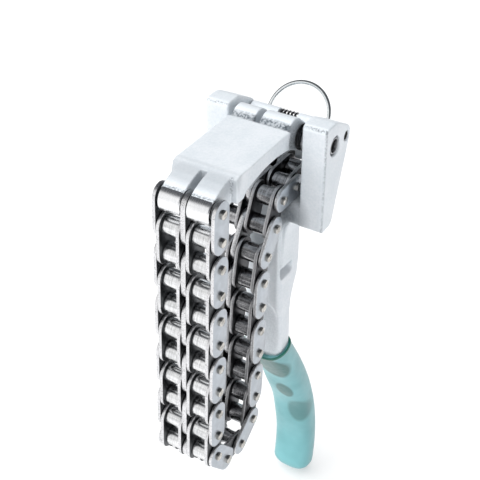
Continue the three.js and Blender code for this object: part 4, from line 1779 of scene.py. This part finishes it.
@dataclass
class Pawl:
    """Spring-loaded pawl behind the lever, with the wire ring that lifts it."""

    finishes: Finishes
    skin: float = 0.32
    skin_rounds: int = 3
    pin: Point = PAWL_PIN
    barrel_radius: float = 4.1
    half_width: float = 17.2
    web_half_width: float = 16.9
    web: float = 3.4
    web_bottom: float = -14.7
    tooth_front: float = 78.6
    tooth_depth: float = 4.2
    tooth: float = 3.6
    tooth_near: float = 3.55
    tooth_far: float = 10.39
    spring_gap: float = 4.6
    spring_aside: float = 1.3
    ear: float = 4.4
    ear_radius: float = 2.6
    seat: Point = (81.9, -9.3)
    ring_lean: float = 36.5
    ring_half_width: float = 14.6
    ring_wire: float = 0.95
    ring_leg: float = 9
    ring_foot: float = 3.6
    ring_steps: int = 60
    coil_radius: float = 3.5
    coil_slack: float = 0.3
    coil_steps: int = 32
    spring_wire: float = 0.5
    turns: float = 4.5
    spring_leg: float = 3.4

    def body(self) -> bpy.types.Mesh:
        """Makes the pawl's casting with barrel, web, teeth and ears.

        Returns:
            The mesh.
        """
        casting = Casting("pawl_casting", self.skin, self.skin_rounds)
        casting.add(slab(circle(self.pin, self.barrel_radius), -self.half_width, self.half_width))
        half = self.web / 2
        front, bottom = self.tooth_front, self.web_bottom
        web = disc_hull([(self.pin[0] + half, self.pin[1], half), (front + half, bottom + half, half)])
        casting.add(slab(web, -self.web_half_width, self.web_half_width))
        tooth = [
            (front, bottom + self.web), (front, bottom - self.tooth_depth),
            (front + self.tooth / 2, bottom - self.tooth_depth), (front + self.tooth, bottom + self.web),
        ]
        ear = disc_hull([(front + half, self.seat[1], self.ear_radius), (*self.seat, self.ear_radius)])
        for sign in (-1, 1):
            for outline, near, far in (
                (tooth, self.tooth_near, self.tooth_far),
                (ear, self.ring_half_width - self.ear / 2, self.ring_half_width + self.ear / 2),
            ):
                casting.add(slab(outline, *sorted((sign * near, sign * far))))
        low, high = self.spring_aside - self.spring_gap, self.spring_aside + self.spring_gap
        casting.cut(slab(circle(self.pin, self.barrel_radius + OVERRUN), low, high))
        return casting.softened()

    def ring_place(self, x: float, height: float) -> Vector:
        """A place in the plane of the ring."""
        lean = math.radians(self.ring_lean)
        return place(x, self.seat[0] + height * math.sin(lean), self.seat[1] + height * math.cos(lean))

    def ring(self) -> bpy.types.Mesh:
        """Makes the wire ring with its two straight legs.

        Returns:
            The mesh.
        """
        wide, foot = self.ring_half_width, -self.ring_foot
        points = [self.ring_place(wide, foot)]
        for i in range(self.ring_steps + 1):
            angle = math.pi * i / self.ring_steps
            points.append(self.ring_place(wide * math.cos(angle), self.ring_leg + wide * math.sin(angle)))
        points.append(self.ring_place(-wide, foot))
        mesh = tube(points, self.ring_wire, "release_ring_wire", sides=20)
        shade(mesh, sharp_above=50)
        return mesh

    def spring(self) -> bpy.types.Mesh:
        """Makes the torsion spring round the pin.

        Returns:
            The mesh.
        """
        rise = 2 * (self.spring_gap - self.spring_wire - self.coil_slack) / self.turns
        half = rise * self.turns / 2
        y, z = self.pin
        wide, steps = self.coil_radius, self.coil_steps
        first = self.spring_aside - half
        points = [place(first, y + wide, z - self.spring_leg)]
        for i in range(int(self.turns * steps) + 1):
            angle = FULL_TURN * i / steps
            aside = first + rise * i / steps
            points.append(place(aside, y + wide * math.cos(angle), z + wide * math.sin(angle)))
        points.append(place(self.spring_aside + half, y - wide, z - self.spring_leg))
        mesh = tube(points, self.spring_wire, "pawl_spring_coil", sides=10)
        shade(mesh, sharp_above=60)
        return mesh

    def build(self) -> None:
        """Makes the pawl, its ring and its spring."""
        looks = self.finishes
        dress(new_object("pawl_casting", self.body()), "pawl", looks.cast, ["locking_pawl"])
        dress(new_object("release_ring_wire", self.ring()), "pawl", looks.wire, ["release_ring"])
        spring = new_object("pawl_spring_coil", self.spring())
        dress(spring, "handle", looks.spring, ["pawl_spring"])


# Studio


@dataclass(frozen=True)
class Lamp:
    """A far soft light: where it comes from, how wide it looks in degrees, and its strength."""

    name: str
    source: Triple
    spread: float
    power: float


@dataclass
class Studio:
    """Camera, pale floor and soft lights.

    The camera stands at azimuth and elevation, in degrees. aside and rise are how far the front pin lies to
    the right of and above the middle of its view, and distance how far in front of it, in millimetres. room
    gives the room's tones by how much a direction faces bright_side.
    """

    azimuth: float = 30.92017
    elevation: float = 35.8623
    roll: float = -0.08166
    focal_pixels: float = 960.208
    aside: float = -18.91284
    rise: float = 13.80681
    distance: float = 366.28061
    picture: int = 480
    sensor: float = 36.0
    nearest_metres: float = 0.01
    floor_half_metres: float = 6.0
    floor_gap_metres: float = 0.0005
    bright_side: Triple = (-0.2, -0.95, -0.25)
    room: tuple[tuple[float, Colour4], ...] = ((0.22, (0.1, 0.105, 0.115, 1)), (0.5, (1.0, 1.0, 1.0, 1)))
    lamps: tuple[Lamp, ...] = (
        Lamp("key_light", (-0.25, -0.25, 0.93), 80, 4.2), Lamp("fill_light", (0.95, -0.25, 0.12), 60, 0.45),
    )

    def axes(self) -> tuple[Vector, Vector, Vector]:
        """Works out how the camera stands.

        Returns:
            Its right, up and backward directions.
        """
        turn, tilt, roll = (math.radians(a) for a in (self.azimuth, self.elevation, self.roll))
        back = Vector((math.sin(turn) * math.cos(tilt), -math.cos(turn) * math.cos(tilt), math.sin(tilt)))
        right = Vector((math.cos(turn), math.sin(turn), 0))
        up = back.cross(right)
        return (
            right * math.cos(roll) + up * math.sin(roll),
            up * math.cos(roll) - right * math.sin(roll),
            back,
        )

    def camera(self) -> None:
        """Sets the camera where the photograph was taken from."""
        right, up, back = self.axes()
        spot = back * self.distance - right * self.aside - up * self.rise
        data = bpy.data.cameras.new("studio_camera")
        data.sensor_width = self.sensor
        data.lens = self.focal_pixels * self.sensor / self.picture
        data.clip_start = self.nearest_metres
        piece = bpy.data.objects.new("studio_camera", data)
        bpy.context.scene.collection.objects.link(piece)
        turn = Matrix((right, up, back)).transposed().to_4x4()
        piece.matrix_world = Matrix.Translation(place(*spot)) @ turn
        bpy.context.scene.camera = piece

    def floor(self) -> None:
        """Lays the paper just under the wrench."""
        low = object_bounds()[0][2] - self.floor_gap_metres
        half = self.floor_half_metres
        around = ((-half, -half), (half, -half), (half, half), (-half, half))
        corners = [Vector((x, y, low)) for x, y in around]
        piece = new_object("studio_floor", mesh_from(corners, [[0, 1, 2, 3]], "studio_floor"))
        piece.data.materials.append(StudioPaper().build())
        piece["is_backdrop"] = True

    def light(self, lamp: Lamp) -> None:
        """Hangs a lamp.

        Args:
            lamp: The lamp.
        """
        data = bpy.data.lights.new(lamp.name, "SUN")
        data.angle = math.radians(lamp.spread)
        data.energy = lamp.power
        piece = bpy.data.objects.new(lamp.name, data)
        bpy.context.scene.collection.objects.link(piece)
        piece.matrix_world = (-Vector(lamp.source)).to_track_quat("-Z", "Y").to_matrix().to_4x4()
        piece.visible_glossy = False

    def world(self) -> None:
        """Fills the room with soft light, darker behind."""
        world = bpy.data.worlds.new("studio_room")
        bpy.context.scene.world = world
        world.use_nodes = True
        tree = world.node_tree
        background = tree.nodes["Background"]
        where = tree.nodes.new("ShaderNodeTexCoord")
        facing = tree.nodes.new("ShaderNodeVectorMath")
        facing.operation = "DOT_PRODUCT"
        facing.inputs[1].default_value = self.bright_side
        tree.links.new(where.outputs["Generated"], facing.inputs[0])
        ramp = tree.nodes.new("ShaderNodeValToRGB")
        ramp.color_ramp.interpolation = "EASE"
        for stop, (facing_share, tone) in zip(list(ramp.color_ramp.elements), self.room):
            stop.position = facing_share
            stop.color = tone
        tree.links.new(facing.outputs["Value"], ramp.inputs[0])
        tree.links.new(ramp.outputs[0], background.inputs["Color"])

    def build(self) -> None:
        """Sets up the whole studio."""
        bpy.context.scene.view_settings.view_transform = "Standard"
        self.camera()
        self.floor()
        self.world()
        for lamp in self.lamps:
            self.light(lamp)


def main() -> None:
    """Builds the wrench and the studio."""
    logging.basicConfig(level=logging.INFO, format="%(name)s: %(message)s")
    finishes = Finishes()
    Studio().build()
    for assembly in (Handle(finishes), Grip(finishes), Lever(finishes), Pawl(finishes), Chain(finishes)):
        LOG.info("building %s", type(assembly).__name__)
        assembly.build()
    bpy.context.view_layer.update()
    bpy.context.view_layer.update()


if __name__ == "__main__":
    main()
